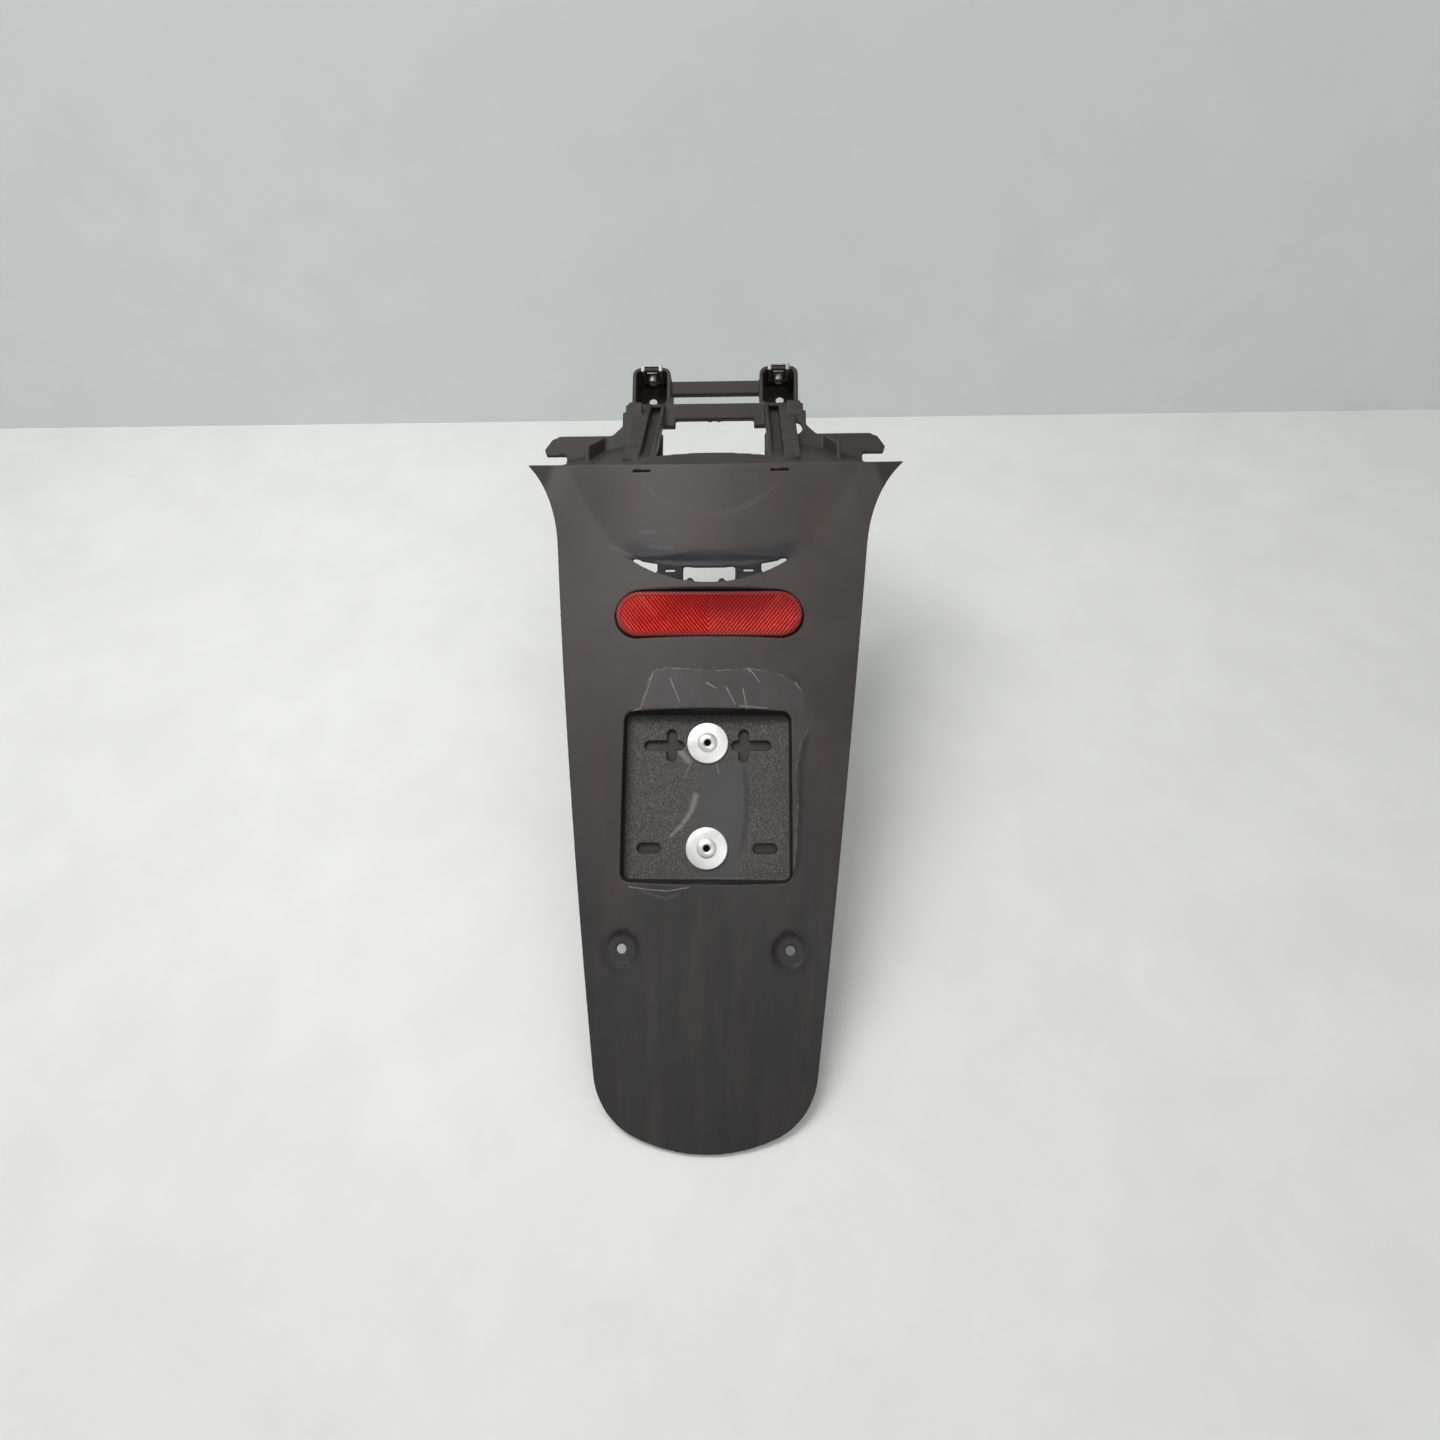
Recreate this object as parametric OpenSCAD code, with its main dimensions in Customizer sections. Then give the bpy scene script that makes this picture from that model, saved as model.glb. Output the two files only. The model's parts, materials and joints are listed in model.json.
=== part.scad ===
// Rear fender of a scooter: one black moulding with its plate tray, lamp slot,
// reflector seat and fixing bracket, and the small pieces that are fastened to it.
// Heights are measured from the middle of the plate tray and depths from the skin
// there. place() then moves everything to the middle of the two top fixing bores.
// X runs across, Y from the outer face to the wheel side, Z up along the tongue.

/* [Tongue] */
// Radius of the skin across its width
cross_r = 255; // [235:1:300]
// Radius of the skin along its length
bow_r = 1500; // [1300:10:1900]
// Thickness of the moulding
wall = 2.8; // [2.4:0.1:3.2]
// Length below the middle of the tray
tail_l = 202; // [192:1:215]
// Height of the top edge, on the middle line
crown_z = 212; // [207:1:218]
// Slope of the top edge from front to back, in degrees
crown_tilt = 28; // [24:1:31]
// Half width at the lower corners
tail_half_w = 65.5; // [60:0.1:74]
// Height of the lower corners below the middle of the tray
tail_z = 157.3; // [150:0.1:165]
// Half width at the neck, under the flared top corners
neck_half_w = 103.1; // [100:0.1:110]
// Height of the neck
neck_z = 168.2; // [160:0.1:176]
// Radius of the flare from the neck to the top corners
flare_r = 140; // [120:1:180]
// Radius of the lower end
tip_r = 105; // [92:1:125]
// Radius of the two lower corners
corner_r = 40; // [30:1:48]

/* [Hood] */
// Radius of the hood over the lamp slot
hood_r = 165; // [150:1:185]
// Depth of the hood's front behind the front of the skin
hood_set = 4.4; // [3:0.1:6]
// Radius of the lip that rolls under
lip_r = 12; // [8:0.5:16]

/* [Lamp slot] */
// Half width of the slot, tip to middle
slot_half_w = 52.2; // [48:0.1:56]
// Height of the slot's tips
slot_z = 152.7; // [149:0.1:156]
// Drop of its upper edge at the middle
slot_top_drop = 8.9; // [7:0.1:11]
// Drop of its lower edge at the middle
slot_low_drop = 18.9; // [16:0.1:21]
// Half width of the clear place between the two clip tabs
tab_gap = 16.4; // [12:0.1:20]
// Width of a clip tab
tab_w = 16.6; // [12:0.1:20]
// Thickness of a clip tab
tab_t = 2.4; // [2:0.1:3]
// Length of the slit in a clip tab
slit_l = 6; // [4:0.5:8]
// Height of the slit
slit_h = 1; // [0.8:0.1:1.4]
// Diameter of the two stops on the slot's lower edge
stop_d = 4.4; // [3.4:0.1:5]
// Length of the slits under the top edge
crown_slit_l = 13; // [10:0.5:15]

/* [Plate tray] */
// Width of the tray at its rim
tray_w = 105.4; // [98:0.1:110]
// Height of the tray at its rim
tray_h = 105.4; // [98:0.1:110]
// Depth of the tray floor
tray_y = 11.5; // [10.5:0.1:12.5]
// Draft of its walls, each side
tray_draft = 3.3; // [1:0.1:4]
// Radius of its corners
tray_r = 7; // [5:0.5:10]
// Width of the plate slots
plate_slot_w = 5.9; // [5:0.1:7]
// Distance of the lower slots from the middle
low_slot_x = 34.7; // [32:0.1:36]
// Length of the lower slots
low_slot_l = 14.4; // [11:0.1:16]
// Distance of the upright slot of a cross from the middle
cross_slot_x = 21.9; // [20:0.1:23]
// Height of the upright slot of a cross
cross_slot_h = 20; // [14:0.5:22]
// Distance of the level slot of a cross from the middle
level_slot_x = 26.5; // [25:0.1:28]
// Length of the level slot of a cross
level_slot_l = 24.4; // [20:0.1:26]

/* [Lower bosses] */
// Distance of the lower fixing holes from the middle
boss_x = 49.4; // [44:0.1:52]
// Height of the lower fixing holes below the middle of the tray
boss_z = 89.7; // [85:0.1:100]
// Depth of the flat floor of a boss
boss_y = 10.5; // [9.5:0.1:11.5]
// Diameter of the flat floor of a boss
boss_floor_d = 16; // [13:0.5:19]
// Width of the sloping wall round the floor
boss_slope = 4.5; // [3:0.5:6]
// Diameter of a lower fixing hole
boss_hole_d = 5.7; // [5:0.1:6.6]

/* [Reflector] */
// Length of the reflector
lens_l = 116.4; // [105:0.1:120]
// Height of the reflector
lens_h = 30; // [26:0.5:32]
// Height of its middle above the middle of the tray
lens_z = 114; // [112:0.5:117]
// Depth of its face behind the skin
lens_set = 3.2; // [2:0.1:5]
// Thickness of the lens
lens_t = 5; // [4:0.1:6]
// Bevel of the lens's front edge
lens_bevel = 1.2; // [0.6:0.1:1.6]
// Thickness of the base behind the lens
base_t = 3; // [2.6:0.1:4]
// Gap round the reflector in its seat
seat_gap = 1.1; // [0.6:0.1:1.8]
// Distance of the two studs from the middle
stud_x = 35; // [25:1:42]
// Diameter of the studs
stud_d = 5; // [4:0.5:6]

/* [Rivets] */
// Distance between the two rivets
rivet_pitch = 63.5; // [58:0.5:68]
// Height of their middle above the middle of the tray
rivet_mid_z = 0.5; // [-2:0.1:3]
// Diameter of the wide washers
washer_d = 25; // [20:0.5:27]
// Thickness of the wide washers
washer_t = 1.5; // [1:0.1:2]
// Diameter of a rivet's head
rivet_head_d = 12; // [10:0.5:14]
// Height of a rivet's head
rivet_head_h = 1.6; // [1.2:0.1:2.4]
// Diameter of a rivet's shank
rivet_d = 6; // [5:0.1:6.6]
// Diameter of the hole left by the mandrel
mandrel_d = 3.7; // [3:0.1:4]

/* [Backing plate] */
// Width of the plate behind the tray
backing_w = 92; // [80:1:98]
// Height of the plate
backing_h = 92; // [80:1:98]
// Thickness of the plate
backing_t = 3; // [2:0.1:4]

/* [Ledge] */
// Rise of the ledge above the slope of the top edge, in degrees
ledge_rise = 17; // [14:1:19]
// Radius of the ledge's cone
ledge_r = 150; // [140:1:165]
// Half width of the ledge
ledge_half_w = 104; // [98:0.5:108]
// Depth of the upright wall behind the ledge
back_y = 50; // [47:0.5:52]
// Height of the top of that wall above the top edge of the tongue
back_rise = 46.5; // [44:0.5:51]
// Half width of that wall
back_half_w = 120; // [114:0.5:124]
// Distance of a slanting rib's front end from the middle
rib_x = 84.5; // [80:0.5:90]
// Thickness of the two slanting ribs on the ledge
rib_t = 3; // [2.4:0.1:4]

/* [Bracket] */
// Distance between the two top fixing bores
fix_pitch = 92.7; // [88:0.1:97]
// Diameter of a top fixing bore
fix_hole_d = 6.6; // [6:0.1:8]
// Height of the top face of the pockets
fix_z = 317.7; // [313:0.1:323]
// Depth of the fixing bores behind the pockets' front
fix_set = 8; // [7:0.5:10]
// Outer width of a pocket
pocket_w = 28; // [26:0.5:31]
// Outer height of a pocket
pocket_h = 32; // [30:0.5:35]
// Depth of a pocket, front to back
pocket_d = 26; // [22:0.5:32]
// Depth of the pockets' front
pocket_y = 60; // [57:0.5:64]
// Corner radius of the pockets
pocket_r = 6; // [4.5:0.5:8]
// Diameter of the hole in a pocket's back wall
pocket_hole_d = 6; // [4:0.5:8]
// Height of that hole above the pocket's underside
pocket_hole_rise = 19; // [14:0.5:20]
// Height of the upper crossbar
high_bar_h = 10.6; // [8:0.1:12]
// Distance of the upper crossbar below the pockets' top
high_bar_drop = 10.1; // [8:0.1:11]
// Height of the lower crossbar
low_bar_h = 11.8; // [9:0.1:13]
// Clear height between the crossbars
bar_gap = 8.7; // [7:0.1:10]
// Depth of the crossbars, front to back
bar_t = 5; // [3:0.5:7]
// Width of an arm
arm_w = 21; // [19:0.5:23]
// Outward lean of an arm, from its top to its foot
arm_lean = 2.2; // [1:0.1:3]
// Width of the outer, raised band of an arm
arm_band_w = 11; // [9:0.5:13]
// Step between the raised band and the web beside it
arm_step = 7; // [5:0.5:9]
// Depth of the window's lower edge
window_y = 22; // [20:0.5:25]
// Width that an ear stands out beyond its arm
ear_w = 8.3; // [7.5:0.1:9.5]
// Height of the ears above the wall they grow from
ear_h = 25.5; // [22:0.5:28]
// Diameter of the hole in the right ear
ear_hole_d = 9; // [7.5:0.1:9.5]

/* [Clip nuts] */
// Thickness of the spring sheet
clip_t = 0.9; // [0.7:0.05:1.1]
// Width of a clip nut
clip_w = 15.6; // [14:0.1:17]
// Length of a clip nut, front to back
clip_l = 15; // [14:0.5:17]
// Width of the two fingers over the edge
clip_finger_w = 2.6; // [2:0.1:3]
// Width of the threaded tongue
clip_tongue_w = 7.6; // [7:0.1:8.4]
// Outer diameter of the threaded barrel
clip_barrel_d = 6.8; // [6.4:0.1:7.2]
// Height of the threaded barrel
clip_barrel_h = 4; // [3:0.5:5]
// Diameter of the thread's bore
clip_bore_d = 5; // [4.2:0.1:5.4]

/* [Hidden] */
$fn = 96;

skin_fn = 240;
cut = 1;
slip = 0.1;
skin_depth = 75;
skin_half_w = 150;
skin_half_angle = 11.5;
top_room = 60;
top_z = crown_z + top_room;
back_top_z = crown_z + back_rise;

side_slope = atan2(neck_half_w - tail_half_w, neck_z + tail_z);
bar_low_z = fix_z - high_bar_drop - high_bar_h - bar_gap - low_bar_h;
pocket_low_z = fix_z - pocket_h;
arm_in_x = fix_pitch / 2 - arm_w / 2;
arm_out_x = fix_pitch / 2 + arm_w / 2;
pocket_in_r = min(pocket_r - wall, (pocket_w - clip_w) / 2 - wall - slip);
arm_foot_y = window_y - 4;
arm_foot_z = crown_z + window_y - hood_set - 6;
arm_top_z = pocket_low_z + wall;
sheet_deep = 1.2 * wall;
ear_x = arm_out_x + ear_w;
ear_hole_z = back_top_z + 4;
ear_step = 2;
ear_foot = 7;
wing_h = 15.5;
wing_slope = 12;
wing_bevel = 5;
ledge_reach = 75;
ledge_lap = 6;
rib_l = 17;
rib_lean = 8;
bar_block_w = 7.5;
bar_block_h = 6;
nub_w = 2.4;
nub_h = 1.2;
slit_drop = 2.2;
crown_slit_h = 1.3;
crown_slit_drop = 4.6;
stop_x = [-12, 8];
stud_reach = 8;
stud_seat = 1;
stud_washer_t = 1;
rivet_tail_h = 4;
rivet_tail_d = 1.4 * rivet_d;
seat_y = lens_set + lens_t + base_t;
tray_back_y = tray_y + wall;
backing_back_y = tray_back_y + backing_t;
lens_angle = asin(lens_z / bow_r);
slot_top_r = arc_radius(slot_half_w, slot_top_drop);
slot_low_r = arc_radius(slot_half_w, slot_low_drop);
slot_top_mid_z = slot_z - slot_top_drop;
slot_low_mid_z = slot_z - slot_low_drop;

// Radius of the arc with this half chord and this height
function arc_radius(half, rise) = (half * half + rise * rise) / (2 * rise);

// Depth of the skin at a distance from the middle and a height
function skin_y(x, z) =
    bow_r - sqrt(pow(bow_r - cross_r + sqrt(cross_r * cross_r - x * x), 2) - z * z);

// Middle of a lower corner: it touches the straight side and the round end
function corner_mid() =
    let (
        tip_mid_z = tip_r - tail_l,
        start_x = tail_half_w + (tip_mid_z + tail_z) * tan(side_slope) - corner_r / cos(side_slope),
        m = tan(side_slope),
        reach = tip_r - corner_r,
        qa = 1 + m * m,
        qb = 2 * start_x * m,
        qc = start_x * start_x - reach * reach,
        w = (-qb - sqrt(qb * qb - 4 * qa * qc)) / (2 * qa)
    )
    [start_x + m * w, tip_mid_z + w];

// Moves the model from the middle of the tray to the middle of the top fixing bores
module place() {
    translate([0, -pocket_y - fix_set, -fix_z]) children();
}

// Stands a flat shape, drawn in X and Z, between two depths
module upright(from_y, to_y) {
    translate([0, to_y, 0]) rotate([90, 0, 0]) linear_extrude(to_y - from_y) children();
}

// Stands a flat shape, drawn in Y and Z, from one X to another
module sideways(from_x, to_x) {
    translate([from_x, 0, 0]) rotate([90, 0, 90]) linear_extrude(to_x - from_x) children();
}

// Stands a bore along Y between two depths
module bore(x, z, d, from_y, to_y) {
    translate([x, to_y, z]) rotate([90, 0, 0]) cylinder(d = d, h = to_y - from_y);
}

// A copy on each side of the middle
module both_sides() {
    children();
    mirror([1, 0, 0]) children();
}

// The frame of the sloping top edge, at its middle
module crown_frame() {
    translate([0, hood_set, crown_z]) rotate([crown_tilt, 0, 0]) children();
}

// The frame on the skin at the reflector's height
module lens_frame() {
    translate([0, bow_r, 0]) rotate([-lens_angle, 0, 0]) translate([0, -bow_r, 0]) children();
}

module rounded_rect(w, h, r) {
    square([w - 2 * r, h], center = true);
    square([w, h - 2 * r], center = true);
    for (x = [-1, 1], y = [-1, 1])
        translate([x * (w / 2 - r), y * (h / 2 - r)]) circle(r);
}

module stadium(l, h) {
    square([l - h, h], center = true);
    for (x = [-1, 1])
        translate([x * (l - h) / 2, 0]) circle(d = h);
}

// Everything behind the skin, at a distance inside its outer face
module skin(inset) {
    translate([0, bow_r, 0]) rotate([90, 0, -90]) rotate([0, 0, -skin_half_angle])
        rotate_extrude(angle = 2 * skin_half_angle, $fn = skin_fn * 6)
            intersection() {
                translate([bow_r - cross_r, 0]) circle(cross_r - inset, $fn = skin_fn);
                translate([bow_r - skin_depth - inset, -skin_half_w])
                    square([skin_depth + 2 * inset, 2 * skin_half_w]);
            }
}

// Everything above the lamp slot's upper edge, with the edge rolled under in front
module lip(inset) {
    edge_r = slot_top_r - inset;
    roll = lip_r - inset;
    roll_y = hood_set + lip_r;
    translate([0, 0, slot_top_mid_z + slot_top_r]) rotate([-90, 0, 0])
        rotate_extrude($fn = skin_fn) {
            translate([0, -cut]) square([edge_r - roll, skin_depth]);
            translate([0, roll_y]) square([edge_r, skin_depth - roll_y - cut]);
            intersection() {
                translate([edge_r - roll, roll_y]) circle(roll);
                translate([0, -cut]) square([edge_r, skin_depth]);
            }
        }
}

// The upright barrel that bulges out over the lamp slot
module hood(inset) {
    intersection() {
        translate([0, hood_set + hood_r, slot_low_mid_z])
            cylinder(r = hood_r - inset, h = back_top_z - slot_low_mid_z, $fn = skin_fn);
        lip(inset);
        translate([-skin_half_w, -cut, slot_low_mid_z - cut])
            cube([2 * skin_half_w, back_y + wall - inset, back_top_z]);
    }
}

// The solid inside the skin and the hood
module bulk(inset) {
    skin(inset);
    hood(inset);
}

// Front view of the tongue: straight sides, a round lower end and flared top corners
module outline() {
    tip_mid = [0, tip_r - tail_l];
    low = corner_mid();
    reach = norm(low - tip_mid);
    join = low + (low - tip_mid) * corner_r / reach;
    touch = low + corner_r * [cos(side_slope), -sin(side_slope)];
    flare_mid = [neck_half_w, neck_z] + flare_r * [cos(side_slope), -sin(side_slope)];
    both_sides() difference() {
        union() {
            polygon([
                [0, tip_mid[1]], [0, join[1]], join, touch, [neck_half_w, neck_z],
                [skin_half_w, neck_z], [skin_half_w, top_z], [0, top_z]
            ]);
            translate(low) circle(corner_r, $fn = skin_fn);
            intersection() {
                translate(tip_mid) circle(tip_r, $fn = skin_fn);
                translate([0, -tail_l - cut]) square([join[0], join[1] + tail_l + 2 * cut]);
            }
        }
        translate(flare_mid) circle(flare_r, $fn = skin_fn);
    }
}

// The hollow inside the shell and above its top edge, less what stands in it
module hollow() {
    difference() {
        union() {
            bulk(wall);
            crown_frame() translate([-2 * skin_half_w, -2 * skin_depth, 0])
                cube([4 * skin_half_w, 4 * skin_depth, 2 * skin_depth]);
        }
        tray_form(wall, tray_back_y);
        both_sides() boss_form(wall, boss_y + wall);
        seat_form(seat_gap + wall, seat_y + wall);
        ledge();
    }
}

// The thin shell, trimmed to the outline, with its tray, bosses, seat and ledge
module shell() {
    difference() {
        intersection() {
            bulk(0);
            upright(-cut, skin_depth - cut) outline();
        }
        hollow();
        upright(-cut, skin_depth) smile();
        crown_slits();
        tray_form(0, tray_y);
        both_sides() boss_form(0, boss_y);
        seat_form(seat_gap, seat_y);
    }
}

// The cone of the ledge: a sheet, or everything above the sheet's underside
module ledge_cone(top) {
    in_r = ledge_r - ledge_reach;
    out_r = ledge_r + ledge_lap;
    rise = ledge_reach * tan(ledge_rise);
    drop = ledge_lap * tan(ledge_rise);
    crown_frame() translate([0, ledge_r, 0]) rotate_extrude($fn = skin_fn)
        polygon([[in_r, rise - wall], [out_r, -drop - wall], [out_r, top - drop], [in_r, top + rise]]);
}

// The sloping ledge behind the top edge, open between the arms
module ledge() {
    difference() {
        intersection() {
            ledge_cone(0);
            translate([-ledge_half_w, -cut, 0]) cube([2 * ledge_half_w, back_y + wall + cut, top_z]);
        }
        translate([-arm_in_x - arm_lean, window_y, crown_z - wall])
            cube([2 * (arm_in_x + arm_lean), skin_depth, top_z]);
    }
}

// Upright wall behind the ledge, with its stepped ear beside the arm
module back_wall(side) {
    ear_top = back_top_z + ear_h;
    ear_in_x = arm_out_x - 2 * wall;
    low_z = back_top_z - wing_h;
    upright(back_y, back_y + wall) scale([side, 1])
        polygon([
            [arm_in_x, crown_z], [ledge_half_w, crown_z], [ledge_half_w, low_z],
            [back_half_w - wing_bevel / 3, low_z], [back_half_w, low_z + wing_bevel],
            [back_half_w - wing_slope / 2, back_top_z - wing_bevel / 4],
            [back_half_w - wing_slope, back_top_z], [ear_x + ear_foot, back_top_z],
            [ear_x, back_top_z + ear_foot], [ear_x, ear_top - 4 * ear_step],
            [ear_x - ear_step, ear_top - 4 * ear_step], [ear_x - ear_step, ear_top - ear_step],
            [ear_x - 2 * ear_step, ear_top - ear_step], [ear_x - 2 * ear_step, ear_top],
            [ear_in_x, ear_top], [ear_in_x, back_top_z], [arm_in_x, back_top_z]
        ]);
}

// Slanting rib on the ledge, from its front to the top of the wall
module ledge_rib() {
    front = [rib_x, back_y - rib_l];
    back = [rib_x - rib_lean, back_y + cut];
    thick = [rib_t, 0];
    back_z = back_top_z - 2;
    intersection() {
        translate([0, 0, crown_z]) linear_extrude(back_top_z - crown_z)
            polygon([front, front + thick, back + thick, back]);
        sideways(0, skin_half_w)
            polygon([
                [front[1], crown_z], [front[1], back_z - rib_l + ear_step], [back_y, back_z],
                [back_y + wall, back_z], [back_y + wall, crown_z]
            ]);
    }
}

// Sloping slab of an arm: a strip of its front view, its depth behind the arm's face and its own depth
module arm_slab(from_w, to_w, set, deep) {
    intersection() {
        upright(0, 2 * skin_depth)
            polygon([
                [arm_out_x - from_w, arm_top_z], [arm_out_x - to_w, arm_top_z],
                [arm_out_x + arm_lean - to_w, arm_foot_z], [arm_out_x + arm_lean - from_w, arm_foot_z]
            ]);
        sideways(0, skin_half_w)
            polygon([
                [arm_foot_y + set, arm_foot_z], [pocket_y + set, arm_top_z],
                [pocket_y + set + deep, arm_top_z], [arm_foot_y + set + deep, arm_foot_z]
            ]);
    }
}

// Arm: a raised outer band, a sunk inner one and the webs between and beside them
module arm() {
    arm_slab(0, arm_band_w, 0, sheet_deep);
    arm_slab(arm_band_w - wall, arm_w, arm_step, sheet_deep);
    arm_slab(arm_band_w - wall, arm_band_w, 0, arm_step + sheet_deep);
    arm_slab(0, wall, 0, pocket_d - arm_step);
    arm_slab(arm_w - wall, arm_w, 0, arm_step + sheet_deep);
}

// Pocket that takes a clip nut under its top wall
module pocket() {
    mid_z = fix_z - pocket_h / 2;
    difference() {
        translate([fix_pitch / 2, 0, mid_z]) difference() {
            upright(pocket_y, pocket_y + pocket_d) rounded_rect(pocket_w, pocket_h, pocket_r);
            upright(pocket_y - cut, pocket_y + pocket_d - wall)
                rounded_rect(pocket_w - 2 * wall, pocket_h - 2 * wall, pocket_in_r);
        }
        translate([fix_pitch / 2, pocket_y + fix_set, fix_z - wall - cut])
            cylinder(d = fix_hole_d, h = wall + 2 * cut);
        bore(fix_pitch / 2 + 1.5, pocket_low_z + pocket_hole_rise, pocket_hole_d,
            pocket_y + pocket_d - wall - cut, pocket_y + pocket_d + cut);
    }
}

module crossbars() {
    half = fix_pitch / 2 - pocket_w / 2 + wall / 2;
    low_half = arm_in_x + wall;
    high_z = fix_z - high_bar_drop - high_bar_h;
    translate([-half, pocket_y + 2, high_z]) cube([2 * half, bar_t, high_bar_h]);
    translate([-low_half, pocket_y, bar_low_z]) cube([2 * low_half, bar_t, low_bar_h]);
    both_sides()
        translate([arm_in_x - bar_block_w, pocket_y, bar_low_z - bar_block_h])
            cube([bar_block_w + wall, bar_t, bar_block_h + cut]);
    for (x = [-4.5, 1.8])
        translate([x, pocket_y + 1, bar_low_z - nub_h]) cube([nub_w, bar_t - 2, nub_h + cut]);
}

// Everything of the bracket, cut off level with the underside of the ledge
module bracket() {
    intersection() {
        union() {
            both_sides() {
                arm();
                ledge_rib();
            }
            back_wall(1);
            back_wall(-1);
            crossbars();
        }
        union() {
            ledge_cone(3 * skin_depth);
            translate([-skin_half_w, back_y - cut, back_top_z - wing_h - cut])
                cube([2 * skin_half_w, skin_depth, skin_depth]);
        }
    }
    both_sides() pocket();
}

// Block that leaves the tray's drafted walls and its floor when the cavity is cut
module tray_form(grow, to_y) {
    half_w = tray_w / 2 + grow;
    half_h = tray_h / 2 + grow;
    r = tray_r + grow;
    draft = tray_draft * (to_y + cut) / (tray_y + cut);
    translate([0, 0, r - half_h]) linear_extrude(2 * (half_h - r))
        polygon([[-half_w, -cut], [half_w, -cut], [half_w - draft, to_y], [draft - half_w, to_y]]);
    sideways(r - half_w, half_w - r)
        polygon([[-cut, -half_h], [-cut, half_h], [to_y, half_h - draft], [to_y, draft - half_h]]);
    for (x = [-1, 1], z = [-1, 1])
        translate([x * (half_w - r), to_y, z * (half_h - r)]) rotate([90, 0, 0])
            cylinder(r1 = r - draft, r2 = r, h = to_y + cut);
}

// Sunk round boss: a flat floor and a sloping wall
module boss_form(grow, to_y) {
    rise = boss_y - skin_y(boss_x - boss_floor_d / 2, boss_z);
    translate([boss_x, to_y, -boss_z]) rotate([90, 0, 0])
        cylinder(d1 = boss_floor_d + 2 * grow, d2 = boss_floor_d + 2 * boss_slope + 2 * grow, h = to_y - boss_y + rise);
}

module seat_form(grow, to_y) {
    lens_frame() upright(-cut, to_y) stadium(lens_l + 2 * grow, lens_h + 2 * grow);
}

// Clip tab that bridges the lamp slot from behind, with its slit
module clip_tab() {
    tab_y = skin_y(tab_gap, slot_low_mid_z) + wall - tab_t / 2;
    difference() {
        translate([tab_gap, tab_y, slot_low_mid_z - 4])
            cube([tab_w, tab_t, slot_top_drop + 9]);
        translate([tab_gap + tab_w / 2 - slit_l / 2, tab_y - cut, slot_top_mid_z - slit_drop])
            cube([slit_l, tab_t + 2 * cut, slit_h]);
    }
}

// The smile between the slot's two arcs, as a flat shape
module smile() {
    difference() {
        translate([0, slot_low_mid_z + slot_low_r]) circle(slot_low_r, $fn = skin_fn);
        translate([0, slot_top_mid_z + slot_top_r]) circle(slot_top_r, $fn = skin_fn);
    }
}

// Narrow slits through the hood, parallel to its top edge
module crown_slits() {
    crown_frame() both_sides()
        translate([arm_in_x + arm_lean, -wall, -crown_slit_drop])
            cube([crown_slit_l, window_y - hood_set, crown_slit_h]);
}

// Two half-round stops on the lower edge of the lamp slot
module stops() {
    for (x = stop_x) {
        from_y = skin_y(x, slot_low_mid_z);
        bore(x, slot_low_mid_z + x * x / (2 * slot_low_r), stop_d, from_y, from_y + wall);
    }
}

module plate_slots() {
    low_z = rivet_mid_z - rivet_pitch / 2;
    high_z = rivet_mid_z + rivet_pitch / 2 - 1.5;
    both_sides() {
        translate([low_slot_x, low_z]) stadium(low_slot_l, plate_slot_w);
        translate([level_slot_x, high_z]) stadium(level_slot_l, plate_slot_w);
        translate([cross_slot_x, high_z]) rotate(90) stadium(cross_slot_h, plate_slot_w);
    }
}

module fender() {
    color([0.13, 0.125, 0.12]) place() difference() {
        union() {
            shell();
            both_sides() clip_tab();
            stops();
            bracket();
        }
        upright(tray_y - cut, tray_back_y + cut) plate_slots();
        for (z = [-1, 1])
            bore(0, rivet_mid_z + z * rivet_pitch / 2, rivet_d + 2 * slip, tray_y - cut, tray_back_y + cut);
        for (x = [-1, 1])
            bore(x * boss_x, -boss_z, boss_hole_d, boss_y - cut, boss_y + wall + cut);
        lens_frame() for (x = [-1, 1])
            bore(x * stud_x, 0, stud_d + 6 * slip, seat_y - cut, seat_y + wall + cut);
        bore(ear_x - ear_hole_d / 2 - wall, ear_hole_z, ear_hole_d, back_y - wall, back_y + pocket_d);
    }
}

module backing_plate() {
    color([0.09, 0.09, 0.09]) place() difference() {
        upright(tray_back_y, backing_back_y) rounded_rect(backing_w, backing_h, tray_r);
        for (z = [-1, 1])
            bore(0, rivet_mid_z + z * rivet_pitch / 2, rivet_d + 2 * slip, tray_back_y - cut, backing_back_y + cut);
    }
}

module reflector_lens() {
    color([0.78, 0.03, 0.04]) place() lens_frame() {
        upright(lens_set + lens_bevel, lens_set + lens_t) stadium(lens_l, lens_h);
        upright(lens_set, lens_set + lens_bevel)
            stadium(lens_l - 2 * lens_bevel, lens_h - 2 * lens_bevel);
    }
}

module reflector_base() {
    from_y = lens_set + lens_t;
    color([0.08, 0.08, 0.08]) place() lens_frame() difference() {
        upright(from_y, from_y + base_t) stadium(lens_l, lens_h);
        for (x = [-1, 1])
            bore(x * stud_x, 0, stud_d + 2 * slip, from_y + stud_seat, from_y + base_t + cut);
    }
}

module stud(side) {
    color([0.6, 0.6, 0.6]) place() lens_frame()
        bore(side * stud_x, 0, stud_d, lens_set + lens_t + stud_seat, seat_y + wall + stud_reach);
}

module stud_washer(side) {
    from_y = seat_y + wall;
    color([0.65, 0.65, 0.65]) place() lens_frame() difference() {
        bore(side * stud_x, 0, 2 * stud_d, from_y, from_y + stud_washer_t);
        bore(side * stud_x, 0, stud_d + 2 * slip, from_y - cut, from_y + stud_washer_t + cut);
    }
}

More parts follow.
